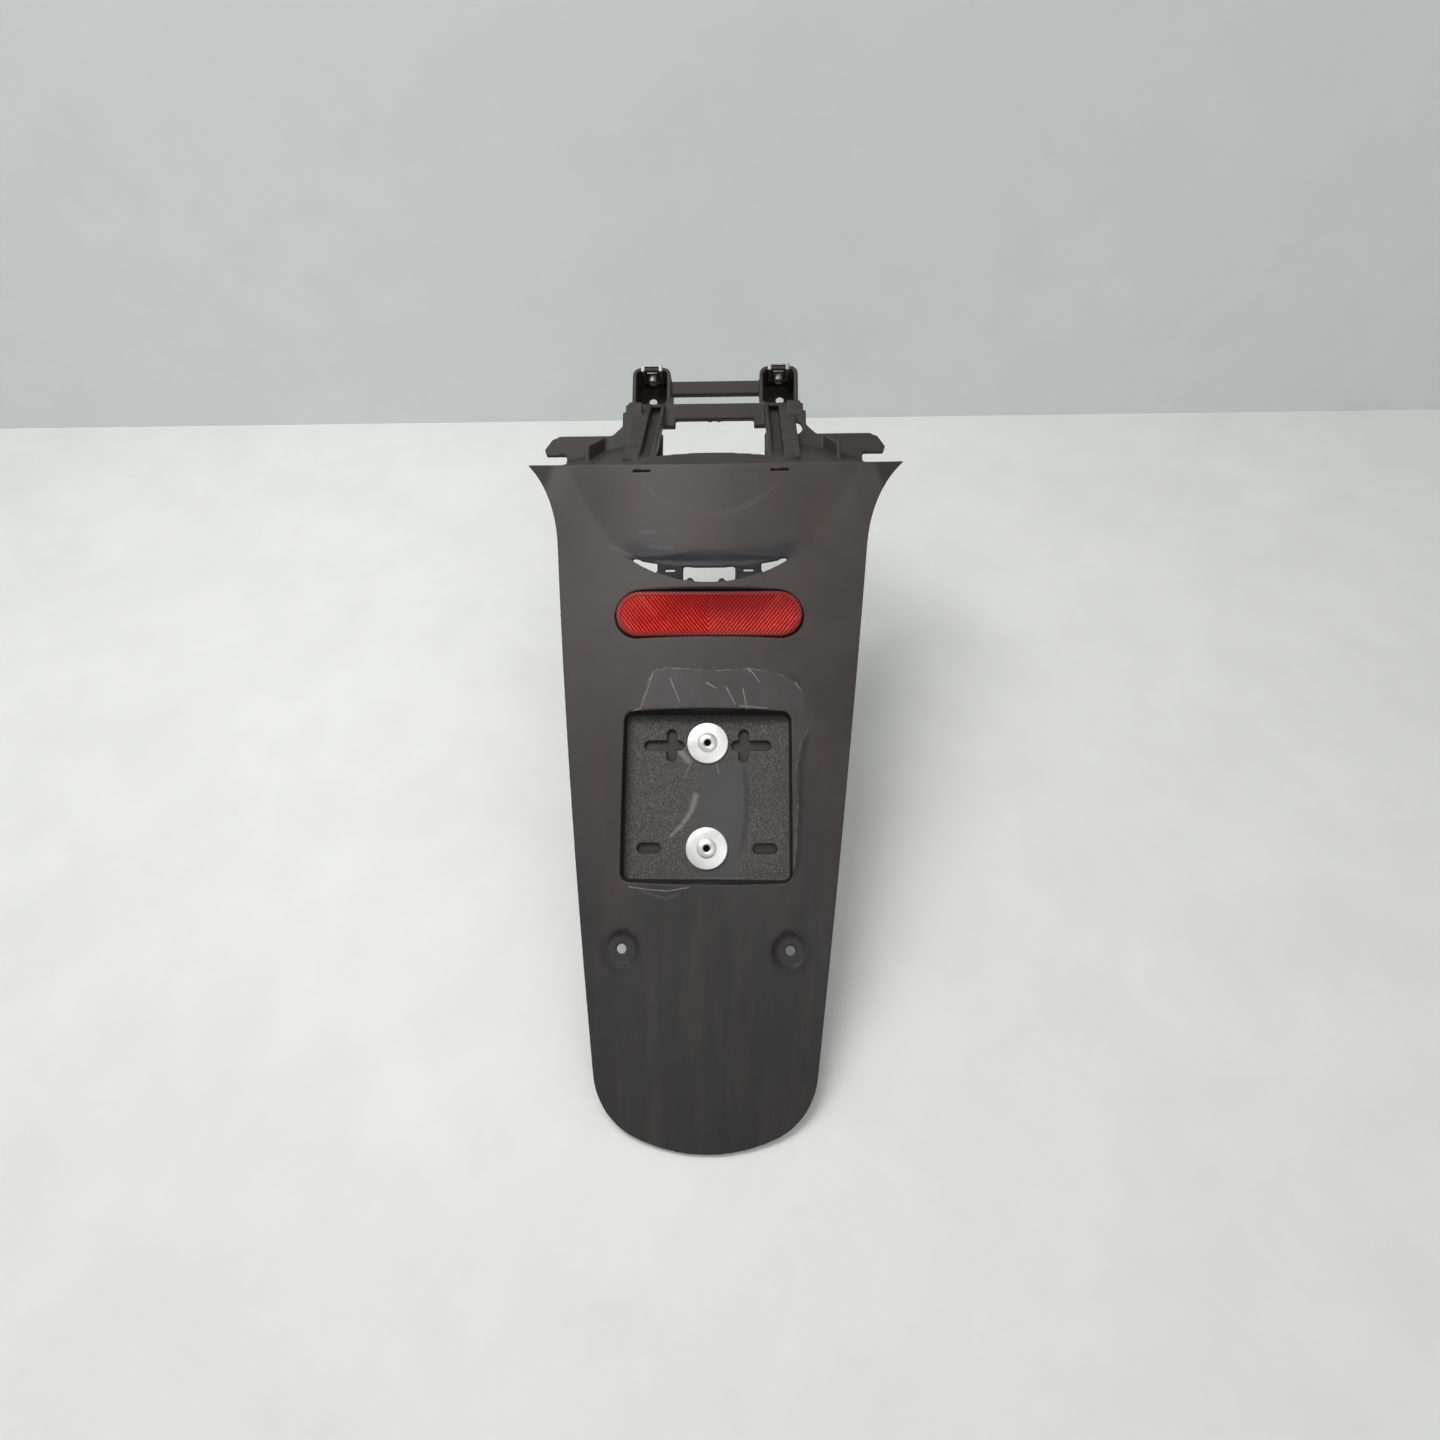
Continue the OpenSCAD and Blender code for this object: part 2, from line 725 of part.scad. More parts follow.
module stud_nut(side) {
    from_y = seat_y + wall + stud_washer_t;
    nut_h = 0.8 * stud_d;
    color([0.6, 0.6, 0.6]) place() lens_frame() difference() {
        translate([side * stud_x, from_y + nut_h, 0]) rotate([90, 0, 0])
            cylinder(d = 1.6 * stud_d / cos(30), h = nut_h, $fn = 6);
        bore(side * stud_x, 0, stud_d + 2 * slip, from_y - cut, from_y + nut_h + cut);
    }
}

module rivet_washer(level) {
    z = rivet_mid_z + level * rivet_pitch / 2;
    color([0.85, 0.85, 0.84]) place() difference() {
        bore(0, z, washer_d, tray_y - washer_t, tray_y);
        bore(0, z, rivet_d + 2 * slip, tray_y - washer_t - cut, tray_y + cut);
    }
}

// Set blind rivet: a low domed head, the shank and the swollen tail
module rivet(level) {
    z = rivet_mid_z + level * rivet_pitch / 2;
    head_y = tray_y - washer_t;
    head_r = arc_radius(rivet_head_d / 2, rivet_head_h);
    shank_l = backing_back_y - head_y;
    color([0.8, 0.8, 0.79]) place() translate([0, head_y, z]) rotate([-90, 0, 0]) difference() {
        union() {
            rotate_extrude() intersection() {
                translate([0, head_r - rivet_head_h]) circle(head_r, $fn = skin_fn);
                translate([0, -rivet_head_h]) square([rivet_head_d, rivet_head_h]);
            }
            cylinder(d = rivet_d, h = shank_l + rivet_tail_h);
            translate([0, 0, shank_l]) cylinder(d = rivet_tail_d, h = rivet_tail_h);
        }
        translate([0, 0, -rivet_head_h - cut])
            cylinder(d = mandrel_d, h = rivet_head_h + shank_l + rivet_tail_h + 2 * cut);
    }
}

// Head and stub of the mandrel, trapped in the rivet's tail
module mandrel(level) {
    z = rivet_mid_z + level * rivet_pitch / 2;
    tail_y = backing_back_y + rivet_tail_h;
    color([0.5, 0.5, 0.5]) place() {
        bore(0, z, mandrel_d - 2 * slip, backing_back_y, tail_y + cut);
        bore(0, z, rivet_d, tail_y, tail_y + washer_t);
    }
}

// Spring clip nut, pushed over the front edge of a pocket's top wall
module clip_nut(side) {
    gap = slip / 2;
    low_z = fix_z - wall - gap - clip_t;
    bend_y = pocket_y - gap - clip_t;
    finger_x = clip_w / 2 - clip_finger_w;
    leg_l = clip_l + clip_t;
    bridge_l = 2 * clip_t;
    hole_y = pocket_y + fix_set;
    color([0.62, 0.61, 0.57]) place() translate([side * fix_pitch / 2, 0, 0]) difference() {
        union() {
            translate([-clip_w / 2, bend_y, fix_z + gap]) cube([clip_w, leg_l, clip_t]);
            both_sides() translate([finger_x, bend_y, low_z]) {
                cube([clip_finger_w, clip_t, wall + 2 * gap + 2 * clip_t]);
                cube([clip_finger_w, leg_l, clip_t]);
            }
            translate([-clip_w / 2, bend_y + leg_l - bridge_l, low_z]) cube([clip_w, bridge_l, clip_t]);
            translate([-clip_tongue_w / 2, bend_y + clip_finger_w, low_z])
                cube([clip_tongue_w, leg_l - clip_finger_w, clip_t]);
            translate([0, hole_y, low_z - clip_barrel_h]) cylinder(d = clip_barrel_d, h = clip_barrel_h + clip_t);
        }
        translate([0, hole_y, low_z - clip_barrel_h - cut])
            cylinder(d = clip_bore_d, h = clip_barrel_h + clip_t + wall / 2 + cut);
        translate([0, hole_y, fix_z]) cylinder(d = fix_hole_d, h = 2 * clip_t);
    }
}

fender();
backing_plate();
reflector_lens();
reflector_base();
stud(-1);  // reflector_stud_left
stud(1);  // reflector_stud_right
stud_washer(-1);  // reflector_washer_left
stud_washer(1);  // reflector_washer_right
stud_nut(-1);  // reflector_nut_left
stud_nut(1);  // reflector_nut_right
rivet_washer(1);  // washer_upper
rivet_washer(-1);  // washer_lower
rivet(1);  // rivet_upper
rivet(-1);  // rivet_lower
mandrel(1);  // mandrel_upper
mandrel(-1);  // mandrel_lower
clip_nut(-1);  // clip_nut_left
clip_nut(1);  // clip_nut_right
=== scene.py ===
import json
import math

import bpy
import numpy
from mathutils import Matrix, Vector

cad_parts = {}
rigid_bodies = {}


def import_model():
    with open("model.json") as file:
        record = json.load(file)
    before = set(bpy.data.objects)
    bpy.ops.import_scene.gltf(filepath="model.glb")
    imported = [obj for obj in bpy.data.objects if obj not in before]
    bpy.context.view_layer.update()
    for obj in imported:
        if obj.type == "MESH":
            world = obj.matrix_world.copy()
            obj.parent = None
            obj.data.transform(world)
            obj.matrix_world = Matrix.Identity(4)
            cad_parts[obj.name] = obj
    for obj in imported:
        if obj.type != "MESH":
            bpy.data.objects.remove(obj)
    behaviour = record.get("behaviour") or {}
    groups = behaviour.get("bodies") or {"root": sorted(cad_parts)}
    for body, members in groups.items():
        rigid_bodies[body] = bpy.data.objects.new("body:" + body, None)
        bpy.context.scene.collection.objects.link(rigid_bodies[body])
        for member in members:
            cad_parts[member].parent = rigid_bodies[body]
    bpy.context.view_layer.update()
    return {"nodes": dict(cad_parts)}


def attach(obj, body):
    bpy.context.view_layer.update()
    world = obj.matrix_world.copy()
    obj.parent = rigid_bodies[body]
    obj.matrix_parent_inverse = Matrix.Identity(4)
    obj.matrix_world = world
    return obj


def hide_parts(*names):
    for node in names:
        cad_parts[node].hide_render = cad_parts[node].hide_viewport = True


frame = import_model()
nodes = frame["nodes"]
mm = 0.001
weldReach = 0.00001      # metres within which points become one
shadeUnder = 35          # degrees under which an edge is shaded smooth
roundOver = 40           # degrees over which an edge is rounded
flatUnder = 2            # degrees under which faces are joined into one
print("frame loaded:", len(nodes), "nodes")


def clearSelection():
    if bpy.context.mode != "OBJECT":
        bpy.ops.object.mode_set(mode="OBJECT")
    bpy.ops.object.select_all(action="DESELECT")


def makeActive(piece):
    clearSelection()
    piece.select_set(True)
    bpy.context.view_layer.objects.active = piece


def applyLast(piece):
    makeActive(piece)
    bpy.ops.object.modifier_apply(modifier=piece.modifiers[-1].name)


def settle(piece):
    # the place goes into the mesh, as on the CAD nodes
    makeActive(piece)
    bpy.ops.object.transform_apply(location=True, rotation=True, scale=True)


def mergedCopy(nodeName, pieceName):
    piece = bpy.data.objects.new(pieceName, nodes[nodeName].data.copy())
    piece.data.name = pieceName
    bpy.context.scene.collection.objects.link(piece)
    makeActive(piece)
    bpy.ops.object.mode_set(mode="EDIT")
    bpy.ops.mesh.select_all(action="SELECT")
    bpy.ops.mesh.remove_doubles(threshold=weldReach)
    bpy.ops.object.mode_set(mode="OBJECT")
    piece.data.materials.clear()
    return piece


def selectNothing(piece, kind):
    # ends in object mode, with edit mode set to points or faces
    makeActive(piece)
    bpy.ops.object.mode_set(mode="EDIT")
    bpy.ops.mesh.select_mode(type=kind)
    bpy.ops.mesh.select_all(action="DESELECT")
    bpy.ops.object.mode_set(mode="OBJECT")


def selectFaces(piece, test):
    # leaves edit mode on, in face mode, with the faces that pass selected
    selectNothing(piece, "FACE")
    for face in piece.data.polygons:
        face.select = test(face)
    bpy.ops.object.mode_set(mode="EDIT")


def smoothEdges(piece, degrees=shadeUnder):
    makeActive(piece)
    bpy.ops.object.shade_smooth_by_angle(angle=math.radians(degrees))


def rideAs(piece, slotName, *nodeNames):
    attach(piece, "root")
    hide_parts(*nodeNames)


def turnedPiece(name, profile, place, tilt=0.0, steps=72):
    # draws a profile of radius and depth, vertex by vertex, and spins it about Y
    clearSelection()
    bpy.ops.mesh.primitive_plane_add(size=mm)
    piece = bpy.context.object
    piece.name = piece.data.name = name
    bpy.ops.object.mode_set(mode="EDIT")
    bpy.ops.mesh.select_mode(type="VERT")
    bpy.ops.mesh.select_all(action="SELECT")
    bpy.ops.mesh.merge(type="CENTER")
    last = Vector((0, 0, 0))
    for index, (radius, depth) in enumerate(profile):
        point = Vector((radius * mm, depth * mm, 0))
        if index == 0:
            bpy.ops.transform.translate(value=point - last)
        else:
            bpy.ops.mesh.extrude_region_move(TRANSFORM_OT_translate={"value": point - last})
        last = point
    bpy.ops.mesh.select_all(action="SELECT")
    bpy.ops.mesh.spin(steps=steps, angle=math.tau, center=(0, 0, 0), axis=(0, 1, 0))
    bpy.ops.mesh.select_all(action="SELECT")
    bpy.ops.mesh.remove_doubles(threshold=weldReach)
    bpy.ops.mesh.normals_make_consistent(inside=False)
    bpy.ops.object.mode_set(mode="OBJECT")
    piece.rotation_euler.x = -math.radians(tilt)
    piece.location = Vector(place) * mm
    settle(piece)
    smoothEdges(piece)
    return piece


def softEdgedCopy(nodeName, pieceName, width, segments=2):
    piece = mergedCopy(nodeName, pieceName)
    bpy.ops.object.mode_set(mode="EDIT")
    bpy.ops.mesh.select_all(action="SELECT")
    bpy.ops.mesh.dissolve_limited(angle_limit=math.radians(flatUnder))
    bpy.ops.object.mode_set(mode="OBJECT")
    bevel = piece.modifiers.new("softEdges", "BEVEL")
    bevel.width = width * mm
    bevel.segments = segments
    bevel.limit_method = "ANGLE"
    bevel.angle_limit = math.radians(roundOver)
    applyLast(piece)
    smoothEdges(piece)
    return piece


# the fender's moulding
fender = {
    "voxel": 0.72,            # mm between the points of the closed skin
    "rounding": 3,            # smoothing passes that round the moulding's edges
    "smoothing": 0.5,         # how far a pass moves a point
    "triangles": 185000,
    "creaseWidth": 1.1,       # mm between hood and tongue where the crease is softened
    "creasePasses": 26,
    "creaseFrom": (40.0, 150.0),       # mm out from the middle and up from the tray's middle
    "creaseBehind": 8.0,      # mm behind the skin that still take part
    "trayHeight": -317.7,     # Z of the middle of the tray
    "skinDepth": -68.0,       # Y of the skin there
    "bow": 1500.0,            # radius of the skin along the tongue
    "cross": 255.0,           # radius of the skin across it
    "hood": 165.0,            # radius of the hood across
    "hoodSet": 4.4,           # mm that the hood's front lies behind the skin's
    "widest": 140.0,          # mm from the middle, as far as the radii are used
    "dishLow": -143.0,        # Z of the bottom of the shallow dish on the hood
    "dishRise": 33.0,         # how far its rim climbs at its half width
    "dishHalf": 51.0,
    "dishDepth": 0.7,
    "dishEdge": 6.0,          # mm over which its rim slopes
    "dishTop": (-108.0, 20.0),         # Z where it has run out, and over how many mm
    "dishSide": (59.0, 14.0),          # the same across
    "dishBehind": 16.0,       # mm behind the skin's front that still take part
    "tabSlit": ((24.7, -58.7, -175.6), (6.0, 5.0, 1.0), 20.5),   # place, size and tilt of the right one
    "crown": (-63.6, -105.7, 28.0),    # Y, Z and tilt of the hood's top edge
    "crownSlit": (44.55, 6.94, -3.95),   # across, in from the top edge and down from it
    "crownTurn": 17.7,                 # degrees that the hood's front turns away there
    "crownGroove": (13.0, 4.4, 1.3),
    "crownBack": (14.5, 1.8, 3.0),     # closes the slit inside the wall
    "crownBackIn": 2.5,
    "smearReach": 20.0,      # mm from the outline below that are told apart
    "smear": [               # outline of the smooth patch round the tray, X and Z
        (-41, -264), (-40, -258), (-36.6, -248.6), (-33.4, -240.6), (-22, -240), (-11, -241.4),
        (3, -242.4), (17, -241.2), (27, -240.6), (36, -242), (46, -244.4), (54, -248.6),
        (59.8, -256.3), (62.6, -264.6), (63, -271.5), (60.4, -279.5), (55.8, -287.5), (54, -294.4),
        (53.9, -307), (54.3, -321), (53.8, -330), (52.9, -340), (52.8, -353.7), (51, -361),
        (46, -366), (30, -360), (30, -280), (-41, -280),
    ],
}


def outlineDistance(x, z, outline):
    # signed distance to a closed outline, negative inside
    nearest = numpy.full(len(x), numpy.inf)
    inside = numpy.zeros(len(x), dtype=bool)
    for (ax, az), (bx, bz) in zip(outline, outline[1:] + outline[:1]):
        runX, runZ = bx - ax, bz - az
        share = ((x - ax) * runX + (z - az) * runZ) / (runX ** 2 + runZ ** 2)
        share = numpy.clip(share, 0, 1)
        away = numpy.hypot(x - ax - share * runX, z - az - share * runZ)
        nearest = numpy.minimum(nearest, away)
        if runZ:
            crosses = (az > z) != (bz > z)
            inside ^= crosses & (x < runX * (z - az) / runZ + ax)
    return numpy.where(inside, -nearest, nearest)


def meshPoints(piece):
    points = numpy.empty(len(piece.data.vertices) * 3)
    piece.data.vertices.foreach_get("co", points)
    return points.reshape(-1, 3) / mm


def softenCrease(shell, facts):
    # the crease between hood and tongue, where the two skins are equally deep
    points = meshPoints(shell)
    x, y, z = points.T
    z = z - facts["trayHeight"]
    wide = numpy.clip(numpy.abs(x), 0, facts["widest"])
    hoodDepth = facts["hoodSet"] + facts["hood"] - numpy.sqrt(facts["hood"] ** 2 - wide ** 2)
    arch = facts["bow"] - facts["cross"] + numpy.sqrt(facts["cross"] ** 2 - wide ** 2)
    skinDepth = facts["bow"] - numpy.sqrt(arch ** 2 - z ** 2)
    outFrom, upFrom = facts["creaseFrom"]
    near = (numpy.abs(hoodDepth - skinDepth) < facts["creaseWidth"]) & (z > upFrom) & (wide > outFrom)
    near &= y - facts["skinDepth"] < numpy.minimum(hoodDepth, skinDepth) + facts["creaseBehind"]
    selectNothing(shell, "VERT")
    shell.data.vertices.foreach_set("select", near)
    bpy.ops.object.mode_set(mode="EDIT")
    bpy.ops.mesh.vertices_smooth(factor=facts["smoothing"], repeat=facts["creasePasses"])
    bpy.ops.object.mode_set(mode="OBJECT")


def sinkDish(shell, facts):
    # the shallow dish in the middle of the hood
    points = meshPoints(shell)
    x, y, z = points.T
    rim = facts["dishLow"] + facts["dishRise"] * (x / facts["dishHalf"]) ** 2
    step = numpy.clip((z - rim) / facts["dishEdge"], 0, 1)
    step = step * step * (3 - 2 * step)
    topEnd, topFade = facts["dishTop"]
    sideEnd, sideFade = facts["dishSide"]
    fade = numpy.clip((topEnd - z) / topFade, 0, 1)
    fade *= numpy.clip((sideEnd - numpy.abs(x)) / sideFade, 0, 1)
    shallow = y < facts["skinDepth"] + facts["dishBehind"]
    points[:, 1] += numpy.where(shallow, facts["dishDepth"] * step * fade, 0)
    shell.data.vertices.foreach_set("co", (points * mm).ravel())
    shell.data.update()


def addBlock(size, place, tilt, turn=0.0):
    # turned about Z first, then tilted about X
    clearSelection()
    bpy.ops.mesh.primitive_cube_add(size=1)
    block = bpy.context.object
    block.scale = Vector(size) * mm
    block.rotation_mode = "ZYX"
    block.rotation_euler = (math.radians(tilt), 0, math.radians(turn))
    block.location = Vector(place) * mm
    settle(block)
    return block


def crownBlock(facts, size, inward, side):
    frontY, topZ, tilt = facts["crown"]
    across, deep, down = facts["crownSlit"]
    lean = math.radians(tilt)
    y = frontY + (deep + inward) * math.cos(lean) - down * math.sin(lean)
    z = topZ + (deep + inward) * math.sin(lean) + down * math.cos(lean)
    return addBlock(size, (across * side, y, z), tilt, facts["crownTurn"] * side)


def carve(shell, cutter):
    opening = shell.modifiers.new("slit", "BOOLEAN")
    opening.operation = "DIFFERENCE"
    opening.solver = "EXACT"
    opening.object = cutter
    applyLast(shell)
    bpy.data.objects.remove(cutter, do_unlink=True)


def backCrownSlits(shell, facts):
    # the slits under the top edge look dark, so they end inside the wall
    for side in (-1, 1):
        block = crownBlock(facts, facts["crownBack"], facts["crownBackIn"], side)
        makeActive(shell)
        block.select_set(True)
        bpy.ops.object.join()


def cutSlits(shell, facts):
    # the closed skin loses the narrow slits; the tabs' slits rise backwards, so that light shows
    (x, y, z), size, tilt = facts["tabSlit"]
    for side in (-1, 1):
        carve(shell, addBlock(size, (x * side, y, z), tilt))
        carve(shell, crownBlock(facts, facts["crownGroove"], 0.0, side))


def dropCrumbs(shell):
    # the voxels leave crumbs off the flares' sharp tips; only what hangs together with the tongue stays
    lowest = int(meshPoints(shell)[:, 2].argmin())
    selectNothing(shell, "VERT")
    shell.data.vertices[lowest].select = True
    bpy.ops.object.mode_set(mode="EDIT")
    bpy.ops.mesh.select_linked()
    bpy.ops.mesh.select_all(action="INVERT")
    bpy.ops.mesh.delete(type="VERT")
    bpy.ops.object.mode_set(mode="OBJECT")


def makeFenderShell(facts):
    shell = mergedCopy("fender", "fenderShell")
    backCrownSlits(shell, facts)
    remesh = shell.modifiers.new("closeSkin", "REMESH")
    remesh.mode = "VOXEL"
    remesh.voxel_size = facts["voxel"] * mm
    applyLast(shell)
    dropCrumbs(shell)
    soften = shell.modifiers.new("softEdges", "SMOOTH")
    soften.factor = facts["smoothing"]
    soften.iterations = facts["rounding"]
    applyLast(shell)
    softenCrease(shell, facts)
    sinkDish(shell, facts)
    thin = shell.modifiers.new("thinMesh", "DECIMATE")
    thin.ratio = min(1.0, facts["triangles"] / (2.0 * len(shell.data.polygons)))
    applyLast(shell)
    cutSlits(shell, facts)
    points = meshPoints(shell)
    edge = outlineDistance(points[:, 0], points[:, 2], facts["smear"])
    layer = shell.data.attributes.new("smearEdge", "FLOAT", "POINT")
    layer.data.foreach_set("value", numpy.clip(edge, -facts["smearReach"], facts["smearReach"]))
    makeActive(shell)
    bpy.ops.object.shade_smooth()
    return shell


fenderShell = makeFenderShell(fender)
rideAs(fenderShell, "fender_plastic", "fender")
print("fender shell:", len(fenderShell.data.polygons), "faces")

# the reflector
reflector = {
    "length": 116.4,
    "height": 30.0,
    "thick": 5.0,
    "edge": 1.1,        # radius of the rounded front edge
    "edgeSteps": 4,
    "endSteps": 20,     # of the round ends
    "rim": 1.7,         # flat rim inside it
    "sink": 0.3,        # depth of the prisms' bed
    "pitch": 1.9,       # from one prism's crest to the next
    "crest": 0.26,      # height of the prisms over their bed
    "border": 0.3,      # width over which their ends slope down to it
    "slant": 52.0,      # degrees between a crest and the lens's length
    "bedGap": 1e-5,     # metres from the bed's plane that count as on it
    "bedFacing": -0.9,  # the normal's Y on the bed is below this
    "onCrest": 0.02,    # share of the prisms' half width that counts as on a crest
    "weld": 0.00005,    # metres within which the outline's points become one
    "shadeUnder": 24,
    "tilt": 4.359,
    "face": (0, -60.47, -203.94),   # middle of the lens's front
}


def cutPrisms(lens, facts, bed):
    # parallel cuts through the bed, mirrored about its middle, then every second one raised
    half = facts["pitch"] / 2 * mm

    def inBed(face):
        return abs(face.center.y - bed) < facts["bedGap"] and face.normal.y < facts["bedFacing"]

    selectFaces(lens, inBed)
    bpy.ops.mesh.bisect(plane_co=(0, 0, 0), plane_no=(1, 0, 0))
    bpy.ops.object.mode_set(mode="OBJECT")
    reach = math.hypot(facts["length"], facts["height"]) / 2 * mm
    count = int(reach / half)
    crests = {}
    for side in (-1, 1):
        angle = -math.radians(facts["slant"]) * side
        across = Vector((math.sin(angle), 0, math.cos(angle))) * side
        for index in range(-count, count + 1):
            selectFaces(lens, lambda face: inBed(face) and face.center.x * side > 0)
            bpy.ops.mesh.bisect(plane_co=across * half * index, plane_no=across)
            bpy.ops.object.mode_set(mode="OBJECT")
        crests[side] = across
    bedReach = facts["height"] / 2 - facts["edge"] - facts["rim"] - facts["sink"] - facts["border"] / 2
    selectNothing(lens, "VERT")
    raised = 0
    for vertex in lens.data.vertices:
        if abs(vertex.co.y - bed) > facts["bedGap"] or outerReach(vertex.co, facts) > bedReach:
            continue
        flat = Vector((vertex.co.x, 0, vertex.co.z))
        step = flat.dot(crests[-1 if flat.x < 0 else 1]) / half
        vertex.select = abs(step - round(step)) < facts["onCrest"] and round(step) % 2 == 1
        raised += vertex.select
    bpy.ops.object.mode_set(mode="EDIT")
    bpy.ops.transform.translate(value=(0, -facts["crest"] * mm, 0))
    bpy.ops.object.mode_set(mode="OBJECT")
    print("prism points raised:", raised)


def makeLens(facts):
    clearSelection()
    bpy.ops.mesh.primitive_plane_add(size=1, rotation=(math.radians(90), 0, 0))
    lens = bpy.context.object
    lens.name = lens.data.name = "prismLens"
    lens.scale = (facts["length"] * mm, facts["height"] * mm, 1)
    lens.location = (0, facts["thick"] * mm, 0)
    settle(lens)
    bpy.ops.object.mode_set(mode="EDIT")
    bpy.ops.mesh.select_mode(type="VERT")
    bpy.ops.mesh.select_all(action="SELECT")
    bpy.ops.mesh.bevel(offset=facts["height"] / 2 * mm, segments=facts["endSteps"], affect="VERTICES")
    bpy.ops.mesh.select_all(action="SELECT")
    bpy.ops.mesh.remove_doubles(threshold=facts["weld"])
    bpy.ops.mesh.select_mode(type="FACE")
    bpy.ops.mesh.select_all(action="SELECT")
    straight = facts["thick"] - facts["edge"]
    bpy.ops.mesh.extrude_region_move(TRANSFORM_OT_translate={"value": (0, -straight * mm, 0)})
    for step in range(facts["edgeSteps"]):
        low, high = (math.pi / 2 * turn / facts["edgeSteps"] for turn in (step, step + 1))
        inward = facts["edge"] * (math.cos(low) - math.cos(high)) * mm
        forward = facts["edge"] * (math.sin(high) - math.sin(low)) * mm
        bpy.ops.mesh.inset(thickness=inward, depth=0)
        bpy.ops.transform.translate(value=(0, -forward, 0))
    bpy.ops.mesh.inset(thickness=facts["rim"] * mm, depth=0)
    bpy.ops.mesh.inset(thickness=facts["sink"] * mm, depth=0)
    bpy.ops.transform.translate(value=(0, facts["sink"] * mm, 0))
    bpy.ops.mesh.inset(thickness=facts["border"] * mm, depth=0)
    bpy.ops.object.mode_set(mode="OBJECT")
    selectFaces(lens, lambda face: True)
    bpy.ops.mesh.normals_make_consistent(inside=False)
    bpy.ops.object.mode_set(mode="OBJECT")
    cutPrisms(lens, facts, facts["sink"] * mm)
    front = min(vertex.co.y for vertex in lens.data.vertices) / mm
    print("lens:", len(lens.data.polygons), "faces, front at", round(front, 3))
    lens.rotation_euler.x = -math.radians(facts["tilt"])
    lens.location = Vector(facts["face"]) * mm
    settle(lens)
    smoothEdges(lens, facts["shadeUnder"])
    return lens


def outerReach(point, facts):
    # distance from the lens's middle line, in mm
    straight = (facts["length"] - facts["height"]) / 2
    return math.hypot(max(abs(point.x) / mm - straight, 0), point.z / mm)


prismLens = makeLens(reflector)
rideAs(prismLens, "red_lens", "reflector_lens")

# mm of rounding on the edges of the pieces that are copied from the CAD
edgeWidths = {"base": 0.5, "studWasher": 0.12, "studNut": 0.35, "backPlate": 0.6, "clipNut": 0.16}
lensBase = softEdgedCopy("reflector_base", "lensBase", edgeWidths["base"])
rideAs(lensBase, "base_plastic", "reflector_base")

studs = {
    "across": 35.0,
    "radius": 2.5,
    "plain": 1.6,        # length before the thread
    "thread": 0.8,       # pitch of the thread's ridges
    "groove": 0.42,      # depth between two ridges
    "end": 1.2,          # length after which no further ridge starts, from the end
    "taper": 0.6,        # how much smaller the end's radius is
    "from": -54.67,      # Y and Z of the stud's root, and its length
    "height": -201.94,
    "length": 12.6,
    "steps": 32,
}


def makeStud(side, facts):
    radius, depth = facts["radius"], facts["plain"]
    profile = [(0.0, 0.0), (radius, 0.0), (radius, depth)]
    while depth < facts["length"] - facts["end"]:
        profile.append((radius - facts["groove"], depth + facts["thread"] / 2))
        depth += facts["thread"]
        profile.append((radius, depth))
    profile += [(radius - facts["taper"], facts["length"]), (0.0, facts["length"])]
    across = facts["across"] if side == "Right" else -facts["across"]
    place = (across, facts["from"], facts["height"])
    return turnedPiece("stud" + side, profile, place, reflector["tilt"], facts["steps"])


backHardware = []
for side in ("Left", "Right"):
    stud = makeStud(side, studs)
    rideAs(stud, "zinc_steel", "reflector_stud_" + side.lower())
    washer = softEdgedCopy("reflector_washer_" + side.lower(), "studWasher" + side, edgeWidths["studWasher"])
    rideAs(washer, "zinc_steel", "reflector_washer_" + side.lower())
    nut = softEdgedCopy("reflector_nut_" + side.lower(), "studNut" + side, edgeWidths["studNut"])
    rideAs(nut, "zinc_steel", "reflector_nut_" + side.lower())
    backHardware += [stud, washer, nut]
print("reflector made")

# washers and rivets in the tray
rivets = {
    "upper": -285.45,
    "lower": -348.95,
    "floor": -56.5,       # Y of the tray's floor
    "washer": [           # radius and depth from the floor
        (3.15, 0.0), (12.2, 0.0), (12.5, -0.25), (12.5, -1.0), (12.32, -1.34), (11.95, -1.5),
        (5.0, -1.5), (3.3, -1.42), (3.15, -1.2), (3.15, 0.0),
    ],
    "head": [
        (1.85, 9.8), (1.85, -1.9), (2.05, -2.35), (2.5, -2.72), (3.1, -2.98), (3.9, -2.78), (4.7, -2.46),
        (5.4, -2.08), (5.85, -1.72), (6.0, -1.56), (5.9, -1.5), (3.0, -1.5), (3.0, 5.8),
        (4.1, 6.0), (4.2, 6.5), (4.2, 9.1), (3.9, 9.6), (3.2, 9.8), (1.85, 9.8),
    ],
    "mandrel": [
        (0.0, 5.8), (1.4, 5.85), (1.75, 6.2), (1.75, 9.8), (2.9, 9.85), (3.0, 10.1), (3.0, 10.9),
        (2.4, 11.3), (0.0, 11.3),
    ],
    "washerSteps": 96,    # how many steps a washer or mandrel is turned in
    "mandrelSteps": 40,
}


def makeRivetSet(level, facts):
    place = (0, facts["floor"], facts[level])
    washer = turnedPiece(level + "Washer", facts["washer"], place, steps=facts["washerSteps"])
    rideAs(washer, "washer_metal", "washer_" + level)
    rivet = turnedPiece(level + "Rivet", facts["head"], place)
    rideAs(rivet, "rivet_aluminium", "rivet_" + level)
    mandrel = turnedPiece(level + "Mandrel", facts["mandrel"], place, steps=facts["mandrelSteps"])
    rideAs(mandrel, "zinc_steel", "mandrel_" + level)
    return washer, rivet, mandrel


